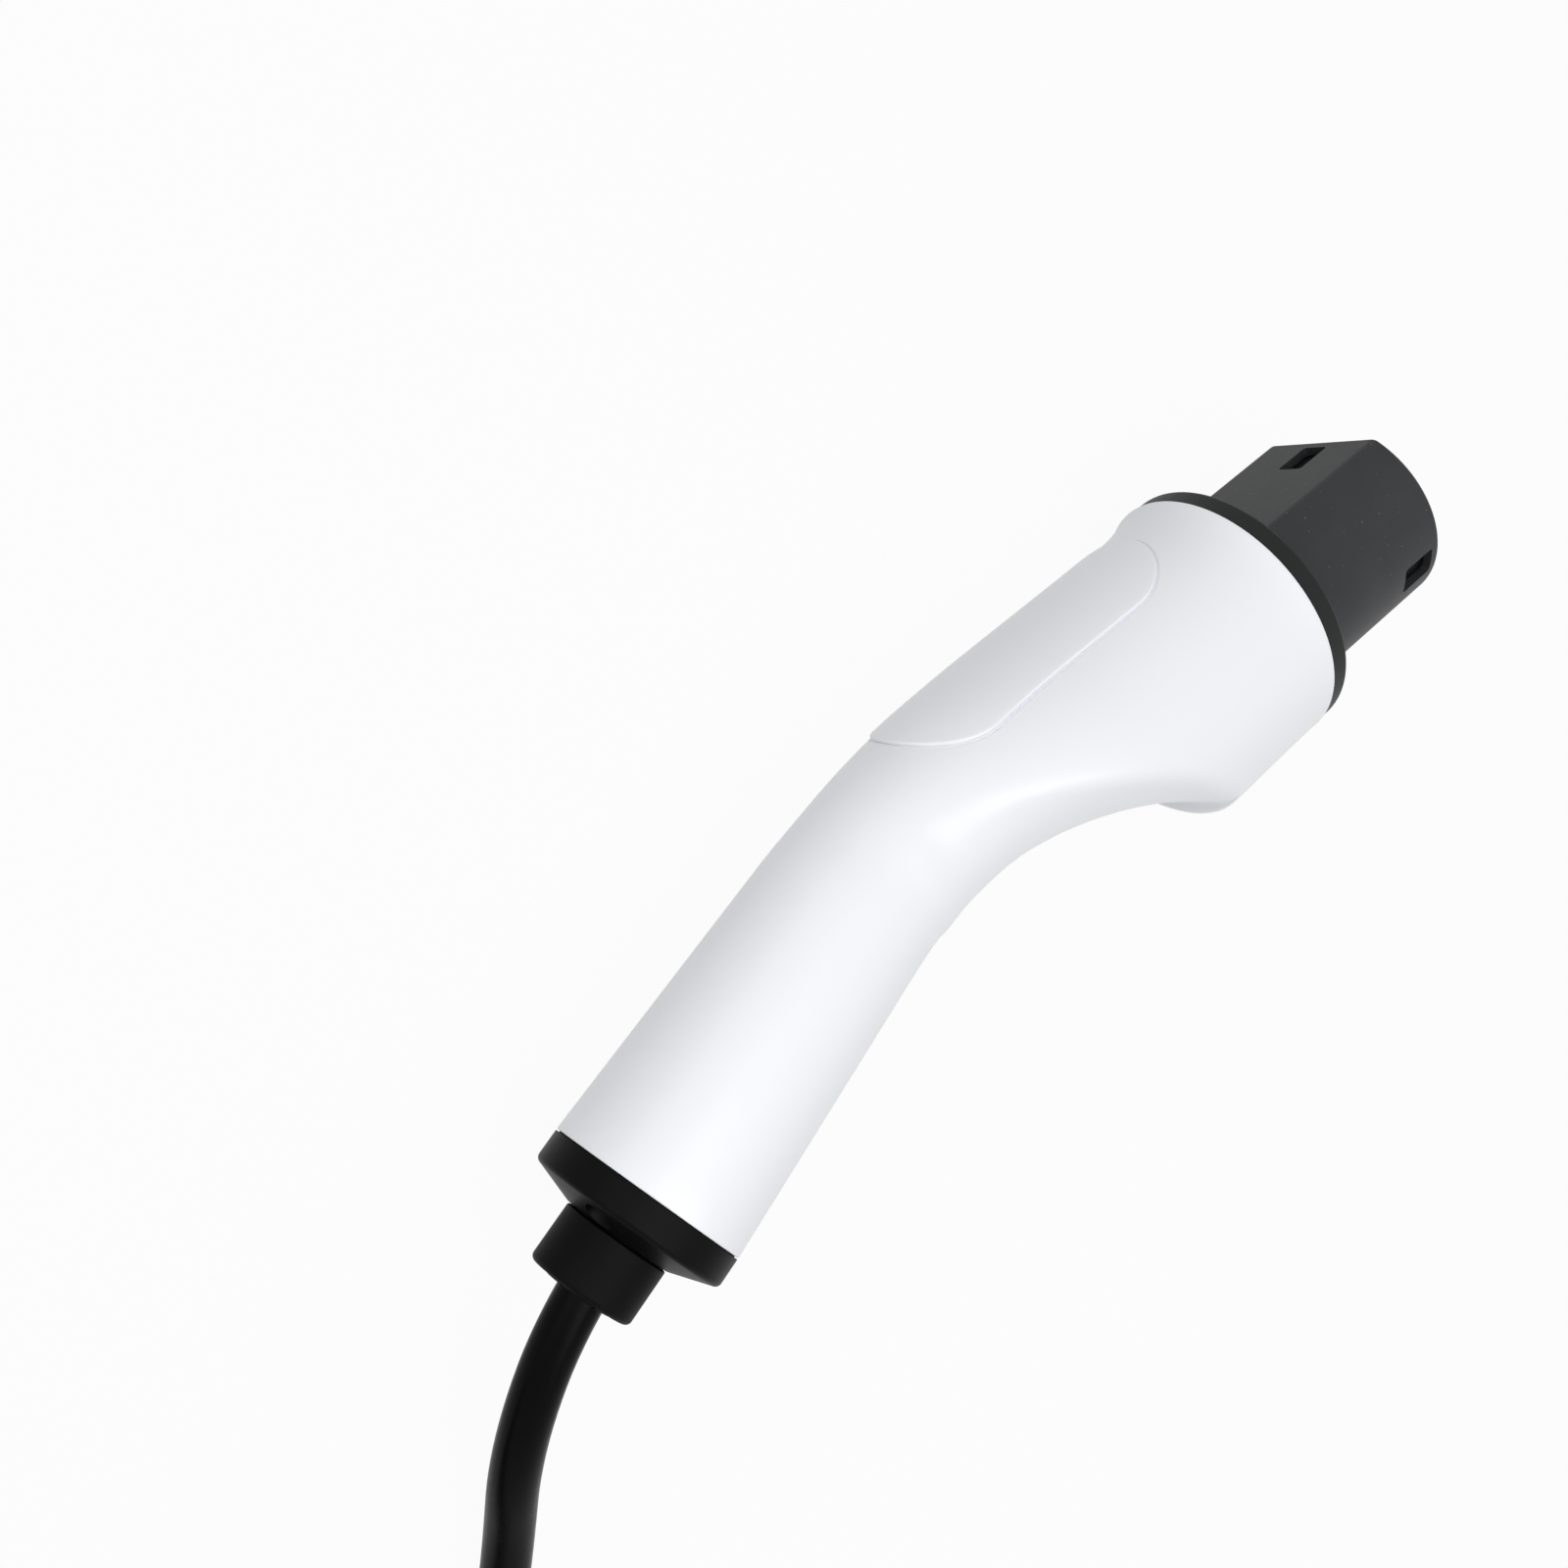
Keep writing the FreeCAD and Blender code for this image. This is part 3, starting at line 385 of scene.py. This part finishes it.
def soft_rubber():
    """Moulded gasket rubber: matt black with a powdery bloom in patches of 2 to 3 mm."""
    material, tree, place = new_material("soft_rubber")
    bloom = add(tree, "ShaderNodeTexNoise", {"Vector": place, "Scale": 400.0, "Detail": 3.0})
    tint = add(tree, "ShaderNodeMixRGB", {
        "Fac": bloom.outputs["Fac"], "Color1": linear("#0C0C0D"), "Color2": linear("#161617")})
    rubber = add(tree, "ShaderNodeBsdfPrincipled", {
        "Base Color": tint.outputs["Color"], "Roughness": 0.75, "IOR": 1.5,
        "Specular IOR Level": 0.2})
    surface(tree, rubber)
    return material


def metal(name, colour, mark_size, roughness):
    """Plated metal: turned marks of mark_size across X, uneven sheen."""
    material, tree, place = new_material(name)
    lines = add(tree, "ShaderNodeMapping", {
        "Vector": place, "Scale": (1 / mark_size, 40.0, 40.0)})
    marks = add(tree, "ShaderNodeTexNoise", {
        "Vector": lines.outputs["Vector"], "Scale": 1.0, "Detail": 2.0})
    rough = add(tree, "ShaderNodeMapRange", {
        "Value": marks.outputs["Fac"], "To Min": roughness - 0.06, "To Max": roughness + 0.1})
    bump = add(tree, "ShaderNodeBump", {
        "Height": marks.outputs["Fac"], "Strength": 0.15, "Distance": 0.00003})
    plated = add(tree, "ShaderNodeBsdfPrincipled", {
        "Base Color": colour, "Metallic": 1.0, "Roughness": rough.outputs["Result"],
        "Normal": bump.outputs["Normal"]})
    surface(tree, plated)
    return material


def wire_insulation(name, code):
    """Extruded insulation or lacquer: smooth and a little waxy, in patches of about 3 mm."""
    material, tree, place = new_material(name)
    patch = add(tree, "ShaderNodeTexNoise", {"Vector": place, "Scale": 300.0, "Detail": 2.0})
    rough = add(tree, "ShaderNodeMapRange", {
        "Value": patch.outputs["Fac"], "To Min": 0.35, "To Max": 0.5})
    plastic = add(tree, "ShaderNodeBsdfPrincipled", {
        "Base Color": linear(code), "Roughness": rough.outputs["Result"], "IOR": 1.5})
    surface(tree, plastic)
    return material


def shell_plastic(settings):
    """The one plastic of the shell and the thumb panel, made once."""
    made = bpy.data.materials.get("polished_polycarbonate")
    return made or polished_polycarbonate(settings)


def paint(names, material):
    """Gives CAD nodes their material."""
    for name in names:
        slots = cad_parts[name].material_slots
        for slot in slots:
            slot.material = material
        if not slots:
            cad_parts[name].data.materials.append(material)


def finished(bm, name, material):
    """Mesh object from bm at the origin, in metres, riding on the connector."""
    mesh = bpy.data.meshes.new(name)
    bm.to_mesh(mesh)
    bm.free()
    mesh.shade_smooth()
    mesh.materials.append(material)
    piece = bpy.data.objects.new(name, mesh)
    bpy.context.scene.collection.objects.link(piece)
    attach(piece, "root")
    return piece


def closed_ring(bm, count):
    """The first ring of a swept shape: a circle whose vertices are then placed one by one."""
    return bmesh.ops.create_circle(bm, cap_ends=False, radius=1.0, segments=count)["verts"]


def extruded(bm, ring):
    """Extrudes a closed ring of vertices and returns the new ring in the same order."""
    places = [vert.co.copy() for vert in ring]
    for index, vert in enumerate(ring):
        vert.co = (index, 0, 0)
    members = set(ring)
    edges = [e for e in {e for v in ring for e in v.link_edges} if members.issuperset(e.verts)]
    made = bmesh.ops.extrude_edge_only(bm, edges=edges)["geom"]
    fresh = sorted((v for v in made if isinstance(v, bmesh.types.BMVert)), key=lambda v: v.co.x)
    for vert, place in zip(ring, places):
        vert.co = place
    return fresh


def closed_up(bm, distance):
    """Merges what meets and turns the faces outwards."""
    bmesh.ops.remove_doubles(bm, verts=bm.verts, dist=distance)
    bmesh.ops.recalc_face_normals(bm, faces=bm.faces)


def reference(station):
    """Point of the shell's middle line (x, z) and the tilt of the section there, in radians."""
    if station <= BEND_START:
        return -station, NECK_Z, 0.0
    tilt = min((station - BEND_START) / BEND_RADIUS, BEND)
    beyond = max(0.0, station - BEND_END)
    x = -BEND_START - BEND_RADIUS * math.sin(tilt) - beyond * math.cos(tilt)
    z = NECK_Z - BEND_RADIUS * (1 - math.cos(tilt)) - beyond * math.sin(tilt)
    return x, z, tilt


def bell(station):
    """Radius of the round section at a station and the drop of its centre."""
    if station >= TAPER[1]:
        share = (station - TAPER[1]) / (HANDLE_LENGTH - TAPER[1])
        return NECK_RADIUS + (HANDLE_END_RADIUS - NECK_RADIUS) * share, 0.0
    ahead = max(station, 0.0)
    top = TOP_HEIGHT + (RIM_RADIUS - TOP_HEIGHT) * math.exp(-ahead / RIM_FLARE)
    full = (top + RIM_RADIUS + SKIRT_SLOPE * ahead) / 2
    share = min(1.0, max(0.0, (station - TAPER[0]) / (TAPER[1] - TAPER[0])))
    radius = full + (NECK_RADIUS - full) * eased(share)
    return radius, NECK_Z - top + radius


def underside(station):
    """Radius of the finger scallop's round section and the drop of its centre."""
    s = min(max(station, UNDERSIDE[0][0]), UNDERSIDE[-1][0])
    for (a, ra), (b, rb) in zip(UNDERSIDE, UNDERSIDE[1:]):
        if a <= s <= b:
            radius = 1 / (1 / ra + (1 / rb - 1 / ra) * (s - a) / (b - a))
    drop = (NECK_RADIUS + 2 * THROAT_CURVE * max(0.0, THROAT_END - s) ** 2
            + RUNOUT * max(0.0, s - RUNOUT_START))
    return radius, drop - radius


def reach(radius, drop, angle):
    """Distance from the middle line to a circle, at an angle from straight down."""
    return drop * math.cos(angle) + math.sqrt(radius ** 2 - (drop * math.sin(angle)) ** 2)


def shell_reach(station, angle, scallop, crease):
    """Outside of the shell; scallop says how much of the finger recess is cut here."""
    round_reach = reach(*bell(station), angle)
    if scallop == 0 or station > ROUND_FROM:
        return round_reach
    radius, drop = underside(station)
    if abs(drop * math.sin(angle)) >= radius:
        return round_reach
    cut_reach = reach(radius, drop, angle)
    # The crease narrows to nothing where the underside runs into the neck
    width = max(crease * min(1.0, (RUNOUT_START - station) / CREASE_RUN), CREASE_LEAST)
    near = max(width - abs(round_reach - cut_reach), 0.0) / width
    lower = min(round_reach, cut_reach) - near * near * width / 4
    return round_reach + (lower - round_reach) * scallop


def in_panel(x, y, margin):
    """Whether (x, y) lies inside the thumb panel's outline, more than margin from its edge."""
    half = PANEL_HALF_WIDTH
    along = min(max(x, PANEL_REAR + half), PANEL_FRONT - half)
    return math.hypot(x - along, y) < half - margin


def on_shell(station, angle, distance):
    """Point at a distance from the middle line, in the tilted section of a station."""
    x, z, tilt = reference(station)
    across, up = distance * math.sin(angle), -distance * math.cos(angle)
    return lying(x - up * math.sin(tilt), across, z + up * math.cos(tilt))


def on_top(x, y, lift):
    """Point above (x, y) on the shell's round back, lift outside it."""
    low, high = 0.0, ROUND_FROM
    for _ in range(30):
        station = (low + high) / 2
        radius, drop = bell(station)
        up = math.sqrt(radius ** 2 - y ** 2)
        ref_x, ref_z, tilt = reference(station)
        if ref_x - (up - drop) * math.sin(tilt) > x:
            low = station
        else:
            high = station
    grow = (radius + lift) / radius
    height = up * grow - drop
    return lying(ref_x - height * math.sin(tilt), y * grow, ref_z + height * math.cos(tilt))


def shell_profile(edge, overrun):
    """The shell's rings as (station, inset, scallop): outside to the rear, then the inner wall."""
    quarter = [math.radians(a) for a in (0, 22.5, 45, 67.5, 90)]
    rings = [(edge * (1 - math.cos(a)) - overrun, edge * (1 - math.sin(a)), 0.0) for a in quarter]
    rings += [(station, 0.0, 0.0) for station in RIM_STATIONS]
    # The finger guard's rear: round its tip, down its step and into the scallop's foot
    for a in (0, 20, 40, 60, 80, 90):
        turn = math.radians(a)
        rings.append((GUARD_TIP - GUARD_CORNER * (1 - math.sin(turn)), 0.0,
                      GUARD_CORNER * (1 - math.cos(turn)) / GUARD_STEP))
    for a in (0, 30, 60, 90):
        turn = math.radians(a)
        rings.append((GUARD_TIP + GUARD_FOOT * (1 - math.cos(turn)), 0.0,
                      1 - GUARD_FOOT * (1 - math.sin(turn)) / GUARD_STEP))
    station = SCALLOP_START
    while station < HANDLE_LENGTH - HANDLE_MARGIN:
        rings.append((station, 0.0, 1.0))
        station += SCALLOP_STEP if station < HANDLE_START else HANDLE_STEP
    end = HANDLE_LENGTH + overrun
    rings += [(end - edge * (1 - math.sin(a)), edge * (1 - math.cos(a)), 1.0) for a in quarter]
    rings.append((end, WALL, 1.0))
    inner = range(int(HANDLE_LENGTH) - INNER_MARGIN, INNER_GUARD, -INNER_STEP)
    rings += [(station, WALL, 1.0) for station in inner]
    rings += [(station, WALL, scallop) for station, scallop in INNER_FRONT]
    rings.append((-overrun, WALL, 0.0))
    return rings


def panel_outline():
    """The thumb panel's outline: for each point the middle of its arc on X and its direction."""
    ends = (PANEL_FRONT - PANEL_HALF_WIDTH, PANEL_REAR + PANEL_HALF_WIDTH)
    quarter = math.pi / 2
    outline = [(ends[0], quarter - math.pi * i / END_STEPS) for i in range(END_STEPS + 1)]
    outline += [(ends[0] + (ends[1] - ends[0]) * i / SIDE_STEPS, -quarter)
                for i in range(1, SIDE_STEPS)]
    outline += [(ends[1], -quarter - math.pi * i / END_STEPS) for i in range(END_STEPS + 1)]
    outline += [(ends[1] + (ends[0] - ends[1]) * i / SIDE_STEPS, quarter)
                for i in range(1, SIDE_STEPS)]
    return outline


def cut_groove(piece, radius):
    """Cuts the fine round groove in which the thumb panel's edge stands."""
    outline = panel_outline()
    bm = bmesh.new()
    ring = closed_ring(bm, GROOVE_SIDES)
    for number, (middle, angle) in enumerate(outline + outline[:1]):
        if number:
            ring = extruded(bm, ring)
        for index, vert in enumerate(ring):
            turn = math.tau * index / len(ring)
            width = PANEL_HALF_WIDTH + radius * (GROOVE_OFFSET + math.cos(turn))
            vert.co = on_top(middle + width * math.cos(angle), width * math.sin(angle),
                             radius * math.sin(turn))
    closed_up(bm, 1e-6)
    mesh = bpy.data.meshes.new("groove")
    bm.to_mesh(mesh)
    bm.free()
    cutter = bpy.data.objects.new("groove", mesh)
    bpy.context.scene.collection.objects.link(cutter)
    groove = piece.modifiers.new("groove", "BOOLEAN")
    groove.operation, groove.solver, groove.object = "DIFFERENCE", "EXACT", cutter
    depsgraph = bpy.context.evaluated_depsgraph_get()
    cut = bpy.data.meshes.new_from_object(piece.evaluated_get(depsgraph))
    piece.modifiers.clear()
    bpy.data.objects.remove(cutter)
    piece.data = cut
    cut.set_sharp_from_angle(angle=SHARP_ANGLE)


def soft_lamp(name, place, size, power):
    """A rectangular lamp that points at the object."""
    light = bpy.data.lights.new(name, "AREA")
    light.shape, light.energy = "RECTANGLE", power
    light.size, light.size_y = size
    lamp = bpy.data.objects.new(name, light)
    lamp.location = place
    lamp.rotation_mode = "QUATERNION"
    lamp.rotation_quaternion = (Vector(LIT_POINT) - Vector(place)).to_track_quat("-Z", "Y")
    bpy.context.scene.collection.objects.link(lamp)


class CONNECTOR_OT_stage(bpy.types.Operator):
    """Adds the pale floor, the soft studio lights and the camera at the photograph's angle"""
    bl_idname = "connector.stage"
    bl_label = "Stage"

    def execute(self, context):
        settings = context.scene.connector_stage
        scene = context.scene
        scene.view_settings.view_transform = "Standard"
        camera = bpy.data.cameras.new("camera")
        camera.lens, camera.sensor_width = CAMERA_LENS, CAMERA_WIDTH
        camera.clip_start, camera.clip_end = 0.01, 50.0
        view = Matrix((CAMERA_RIGHT, CAMERA_UP, CAMERA_BACK)).transposed().to_4x4()
        view.translation = CAMERA_PLACE
        seen_from = bpy.data.objects.new("camera", camera)
        seen_from.matrix_world = view
        scene.collection.objects.link(seen_from)
        scene.camera = seen_from

        bm = bmesh.new()
        bmesh.ops.create_grid(bm, x_segments=2, y_segments=2, size=FLOOR_HALF)
        mesh = bpy.data.meshes.new("floor")
        bm.to_mesh(mesh)
        bm.free()
        floor = bpy.data.objects.new("floor", mesh)
        material, tree, place = new_material("matt_paper")
        # Paper fibres in tufts of about 3 mm
        fibre = add(tree, "ShaderNodeTexNoise", {"Vector": place, "Scale": 300.0, "Detail": 3.0})
        tint = add(tree, "ShaderNodeMixRGB", {
            "Fac": fibre.outputs["Fac"], "Color1": settings.floor_colour,
            "Color2": linear("#BCBCBC")})
        matt = add(tree, "ShaderNodeBsdfDiffuse", {"Color": tint.outputs["Color"]})
        white = add(tree, "ShaderNodeEmission", {"Color": (1, 1, 1, 1), "Strength": 1.0})
        share = add(tree, "ShaderNodeMath", {0: seen_directly(tree), 1: FLOOR_WHITE},
                    operation="MULTIPLY")
        mixed = add(tree, "ShaderNodeMixShader", {
            "Fac": share.outputs["Value"], 1: matt.outputs[0], 2: white.outputs[0]})
        surface(tree, mixed)
        mesh.materials.append(material)
        scene.collection.objects.link(floor)

        soft_lamp("key", KEY_PLACE, KEY_SIZE, settings.key_power)
        soft_lamp("fill", FILL_PLACE, FILL_SIZE, settings.fill_power)
        world = bpy.data.worlds.new("studio")
        scene.world = world
        world.use_nodes = True
        tree = world.node_tree
        tree.nodes.clear()
        level = add(tree, "ShaderNodeMapRange", {
            "Value": seen_directly(tree), "To Min": settings.air, "To Max": AIR_WHITE})
        air = add(tree, "ShaderNodeBackground", {
            "Color": (1, 1, 1, 1), "Strength": level.outputs["Result"]})
        add(tree, "ShaderNodeOutputWorld", {"Surface": air.outputs[0]})
        return {"FINISHED"}


class CONNECTOR_OT_lead(bpy.types.Operator):
    """Adds the cable: out of the gland, down to the floor, round its coil and into the plug"""
    bl_idname = "connector.lead"
    bl_label = "Lead"

    def execute(self, context):
        settings = context.scene.connector_lead
        points = [Vector(p) for p in LEAD_START]
        start = math.atan2(points[-1].y - COIL_CENTRE[1], points[-1].x - COIL_CENTRE[0])
        step = math.tau * COIL_TURNS / COIL_STEPS
        radius = COIL_RADIUS / math.cos(step / 2)
        # After one whole turn the cable meets itself, and it has risen on to its first turn by then
        crossing = COIL_STEPS / COIL_TURNS
        for index in range(1, COIL_STEPS):
            angle = start - step * index
            rise = min(1.0, max(0.0, (index - crossing + RISE_BEFORE) / RISE_STEPS))
            points.append(Vector((COIL_CENTRE[0] + radius * math.cos(angle),
                                  COIL_CENTRE[1] + radius * math.sin(angle),
                                  FLOOR_LAYER + (UPPER_LAYER - FLOOR_LAYER) * eased(rise))))
        points += [Vector((COIL_CENTRE[0] - COIL_RADIUS, COIL_CENTRE[1] + COIL_RUN_OUT,
                           UPPER_LAYER)),
                   Vector(PLUG_END) - Vector((0, PLUG_RUN_IN, 0)),
                   Vector(PLUG_END) + Vector((0, PLUG_INSIDE, 0))]
        curve = bpy.data.curves.new("charging_lead", "CURVE")
        curve.dimensions = "3D"
        spline = curve.splines.new("NURBS")
        spline.points.add(len(points) - 1)
        for control, point in zip(spline.points, points):
            control.co = (*point, 1.0)
        spline.order_u = 3
        spline.use_endpoint_u = True
        spline.resolution_u = 10
        curve.bevel_depth = settings.diameter / 2
        curve.bevel_resolution = 8
        curve.use_fill_caps = True
        lead = bpy.data.objects.new("charging_lead", curve)
        context.scene.collection.objects.link(lead)
        curve.materials.append(cable_sheath(settings))
        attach(lead, "root")
        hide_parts("cable_lead", "cable_coil", "cable_tail")
        return {"FINISHED"}


class CONNECTOR_OT_shell(bpy.types.Operator):
    """Adds the smooth one-piece shell with its rounded edges, finger scallop and panel groove"""
    bl_idname = "connector.shell"
    bl_label = "Shell"

    def execute(self, context):
        settings = context.scene.connector_shell
        crease = settings.crease * 1000
        profile = shell_profile(settings.edge * 1000, settings.overrun * 1000)
        bm = bmesh.new()
        ring = closed_ring(bm, SHELL_SIDES)
        for number, (station, inset, scallop) in enumerate(profile + profile[:1]):
            if number:
                ring = extruded(bm, ring)
            for index, vert in enumerate(ring):
                angle = math.tau * index / SHELL_SIDES
                distance = shell_reach(station, angle, scallop, crease) - inset
                across = distance * math.sin(angle)
                if inset == 0 and math.cos(angle) < 0 and in_panel(-station, across, SEAT_MARGIN):
                    distance -= PANEL_DEPTH + SEAT_GAP
                vert.co = on_shell(station, angle, distance)
        closed_up(bm, 1e-6)
        piece = finished(bm, "shell", shell_plastic(settings))
        cut_groove(piece, settings.groove * 1000)
        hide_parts("housing_shell")
        return {"FINISHED"}


class CONNECTOR_OT_thumb_panel(bpy.types.Operator):
    """Adds the long thumb panel with its rounded edge"""
    bl_idname = "connector.thumb_panel"
    bl_label = "Thumb panel"

    def execute(self, context):
        settings = context.scene.connector_shell
        edge = settings.panel_edge * 1000
        outline = panel_outline()
        # Rings as (offset inwards from the outline, height over the shell): under, edge, top
        rings = [(offset, -PANEL_DEPTH) for offset in PANEL_UNDER]
        for a in (0, 15, 30, 45, 60, 75, 90):
            turn = math.radians(a)
            rings.append((edge * (1 - math.cos(turn)), PANEL_PROUD - edge * (1 - math.sin(turn))))
        rings += [(offset, PANEL_PROUD) for offset in PANEL_TOP]
        bm = bmesh.new()
        ring = closed_ring(bm, len(outline))
        for number, (offset, lift) in enumerate(rings):
            if number:
                ring = extruded(bm, ring)
            width = PANEL_HALF_WIDTH - offset
            for vert, (middle, angle) in zip(ring, outline):
                vert.co = on_top(middle + width * math.cos(angle), width * math.sin(angle), lift)
        closed_up(bm, 2e-6)
        piece = finished(bm, "thumb_cover", shell_plastic(settings))
        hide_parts("thumb_panel")
        return {"FINISHED"}


class CONNECTOR_OT_window_shade_sheets(bpy.types.Operator):
    """Adds thin black sheets behind the nose's windows, painted shade that makes the windows dark
    pockets
    """
    bl_idname = "connector.window_floors"
    bl_label = "Window shade sheets"

    def execute(self, context):
        rear = NOSE_FRONT - WINDOW_SETBACK - WINDOW_LENGTH - SHADE_SHEET_BITE
        length = WINDOW_LENGTH + 2 * SHADE_SHEET_BITE
        width = WINDOW_WIDTH + 2 * SHADE_SHEET_BITE
        inner = NOSE_RADIUS - NOSE_WALL + SHADE_SHEET_SINK
        flat = NOSE_FLAT - NOSE_WALL + SHADE_SHEET_SINK
        bm = bmesh.new()
        for degrees in WINDOW_ANGLES:
            made = bmesh.ops.create_grid(bm, x_segments=4, y_segments=12, size=0.5)["verts"]
            faces = list({face for vert in made for face in vert.link_faces})
            turn = math.radians(degrees)
            for vert in made:
                x, y = rear + length * (vert.co.x + 0.5), width * vert.co.y
                # Behind the flat the painted-shade sheet is flat, and elsewhere as round as the
                # tube
                level = math.sqrt(inner ** 2 - y ** 2) if degrees else flat
                vert.co = lying(x, y * math.cos(turn) - level * math.sin(turn),
                                y * math.sin(turn) + level * math.cos(turn))
            bmesh.ops.recalc_face_normals(bm, faces=faces)
            bmesh.ops.solidify(bm, geom=faces, thickness=-SHADE_SHEET_THICKNESS / 1000)
        bmesh.ops.recalc_face_normals(bm, faces=bm.faces)
        # Plain black for the sheets that paint the shade inside the windows
        material = moulded_nylon("window_shade_black", linear("#060607"), 0.0005, 0.6)
        finished(bm, "window_floors", material)
        return {"FINISHED"}


class CONNECTOR_OT_moulded_parts(bpy.types.Operator):
    """Gives the nose, cap, gland, gaskets and inner insulators their moulded finishes"""
    bl_idname = "connector.moulded_parts"
    bl_label = "Moulded parts"

    def execute(self, context):
        black = context.scene.connector_cap.colour
        paint(["nose_shroud"], glass_filled_nylon(context.scene.connector_nose))
        # Blasting leaves pits of about 0.1 mm, drawn at 0.4 to 0.6 mm so that they show
        paint(["end_cap"], moulded_nylon("blasted_nylon", black, 0.0005, 0.42))
        paint(["gland_nut", "gland_clamp_ring"],
              moulded_nylon("gland_nylon", black, 0.0004, 0.5))
        paint(["contact_carrier", "power_sleeves", "signal_sleeves", "retainer_plate"],
              moulded_nylon("carrier_nylon", linear("#2A2B2D"), 0.0006, 0.5))
        paint(["plug_nut", "plug_housing", "plug_ring"],
              moulded_nylon("plug_nylon", linear("#202123"), 0.0006, 0.45))
        paint(["plug_insert"], moulded_nylon("insert_nylon", linear("#2C2D2F"), 0.0006, 0.5))
        paint(["flange_gasket", "cap_gasket", "gland_grommet"], soft_rubber())
        return {"FINISHED"}


class CONNECTOR_OT_metal_parts(bpy.types.Operator):
    """Gives the contacts, pins and screws their plated finishes, and the wires their insulation"""
    bl_idname = "connector.metal_parts"
    bl_label = "Metal parts and wires"

    def execute(self, context):
        # Turning marks of about 0.1 mm, drawn at 0.4 to 0.5 mm so that they show
        paint(["contact_n", "contact_l1", "contact_l2", "contact_l3", "contact_pe", "contact_cp",
               "contact_pp", "plug_pins"],
              metal("silver_plated_copper", linear("#D9D6CC"), 0.0004, 0.26))
        paint(["carrier_screws", "retainer_screws", "nose_screws", "end_cap_screws"],
              metal("zinc_plated_steel", linear("#8E9094"), 0.0005, 0.32))
        paint(["proximity_resistor"], wire_insulation("resistor_lacquer", "#8FA9B5"))
        for name, code in (("pe", "#5E8F2F"), ("n", "#2F66A8"), ("l1", "#6A4230"),
                           ("l2", "#1C1C1E"), ("l3", "#8A8C8F"), ("cp", "#B8502C")):
            paint(["wire_" + name], wire_insulation("insulation_" + name, code))
        return {"FINISHED"}


class CONNECTOR_PT_panel(bpy.types.Panel):
    """The connector's sizes, colours and steps"""
    bl_label = "Charging connector"
    bl_space_type = "VIEW_3D"
    bl_region_type = "UI"
    bl_category = "Charging connector"

    def draw(self, context):
        for label in GROUPS:
            group = getattr(context.scene, label)
            box = self.layout.box()
            for name in group.bl_rna.properties.keys():
                if name not in ("name", "rna_type"):
                    box.prop(group, name)
        for step in STEPS:
            self.layout.operator(step.bl_idname)


STEPS = (CONNECTOR_OT_stage, CONNECTOR_OT_lead, CONNECTOR_OT_shell, CONNECTOR_OT_thumb_panel,
         CONNECTOR_OT_window_shade_sheets, CONNECTOR_OT_moulded_parts, CONNECTOR_OT_metal_parts)
GROUPS = {"connector_stage": StageSettings, "connector_lead": LeadSettings,
          "connector_shell": ShellSettings, "connector_nose": NoseSettings,
          "connector_cap": CapSettings}


def register():
    for kind in (*GROUPS.values(), *STEPS, CONNECTOR_PT_panel):
        bpy.utils.register_class(kind)
    for name, kind in GROUPS.items():
        setattr(bpy.types.Scene, name, bpy.props.PointerProperty(type=kind))


def unregister():
    for name in GROUPS:
        delattr(bpy.types.Scene, name)
    for kind in (CONNECTOR_PT_panel, *reversed(STEPS), *GROUPS.values()):
        bpy.utils.unregister_class(kind)


def main():
    register()
    bpy.ops.connector.stage()
    bpy.ops.connector.lead()
    bpy.ops.connector.shell()
    bpy.ops.connector.thumb_panel()
    bpy.ops.connector.window_floors()
    bpy.ops.connector.moulded_parts()
    bpy.ops.connector.metal_parts()


if __name__ == "__main__":
    main()
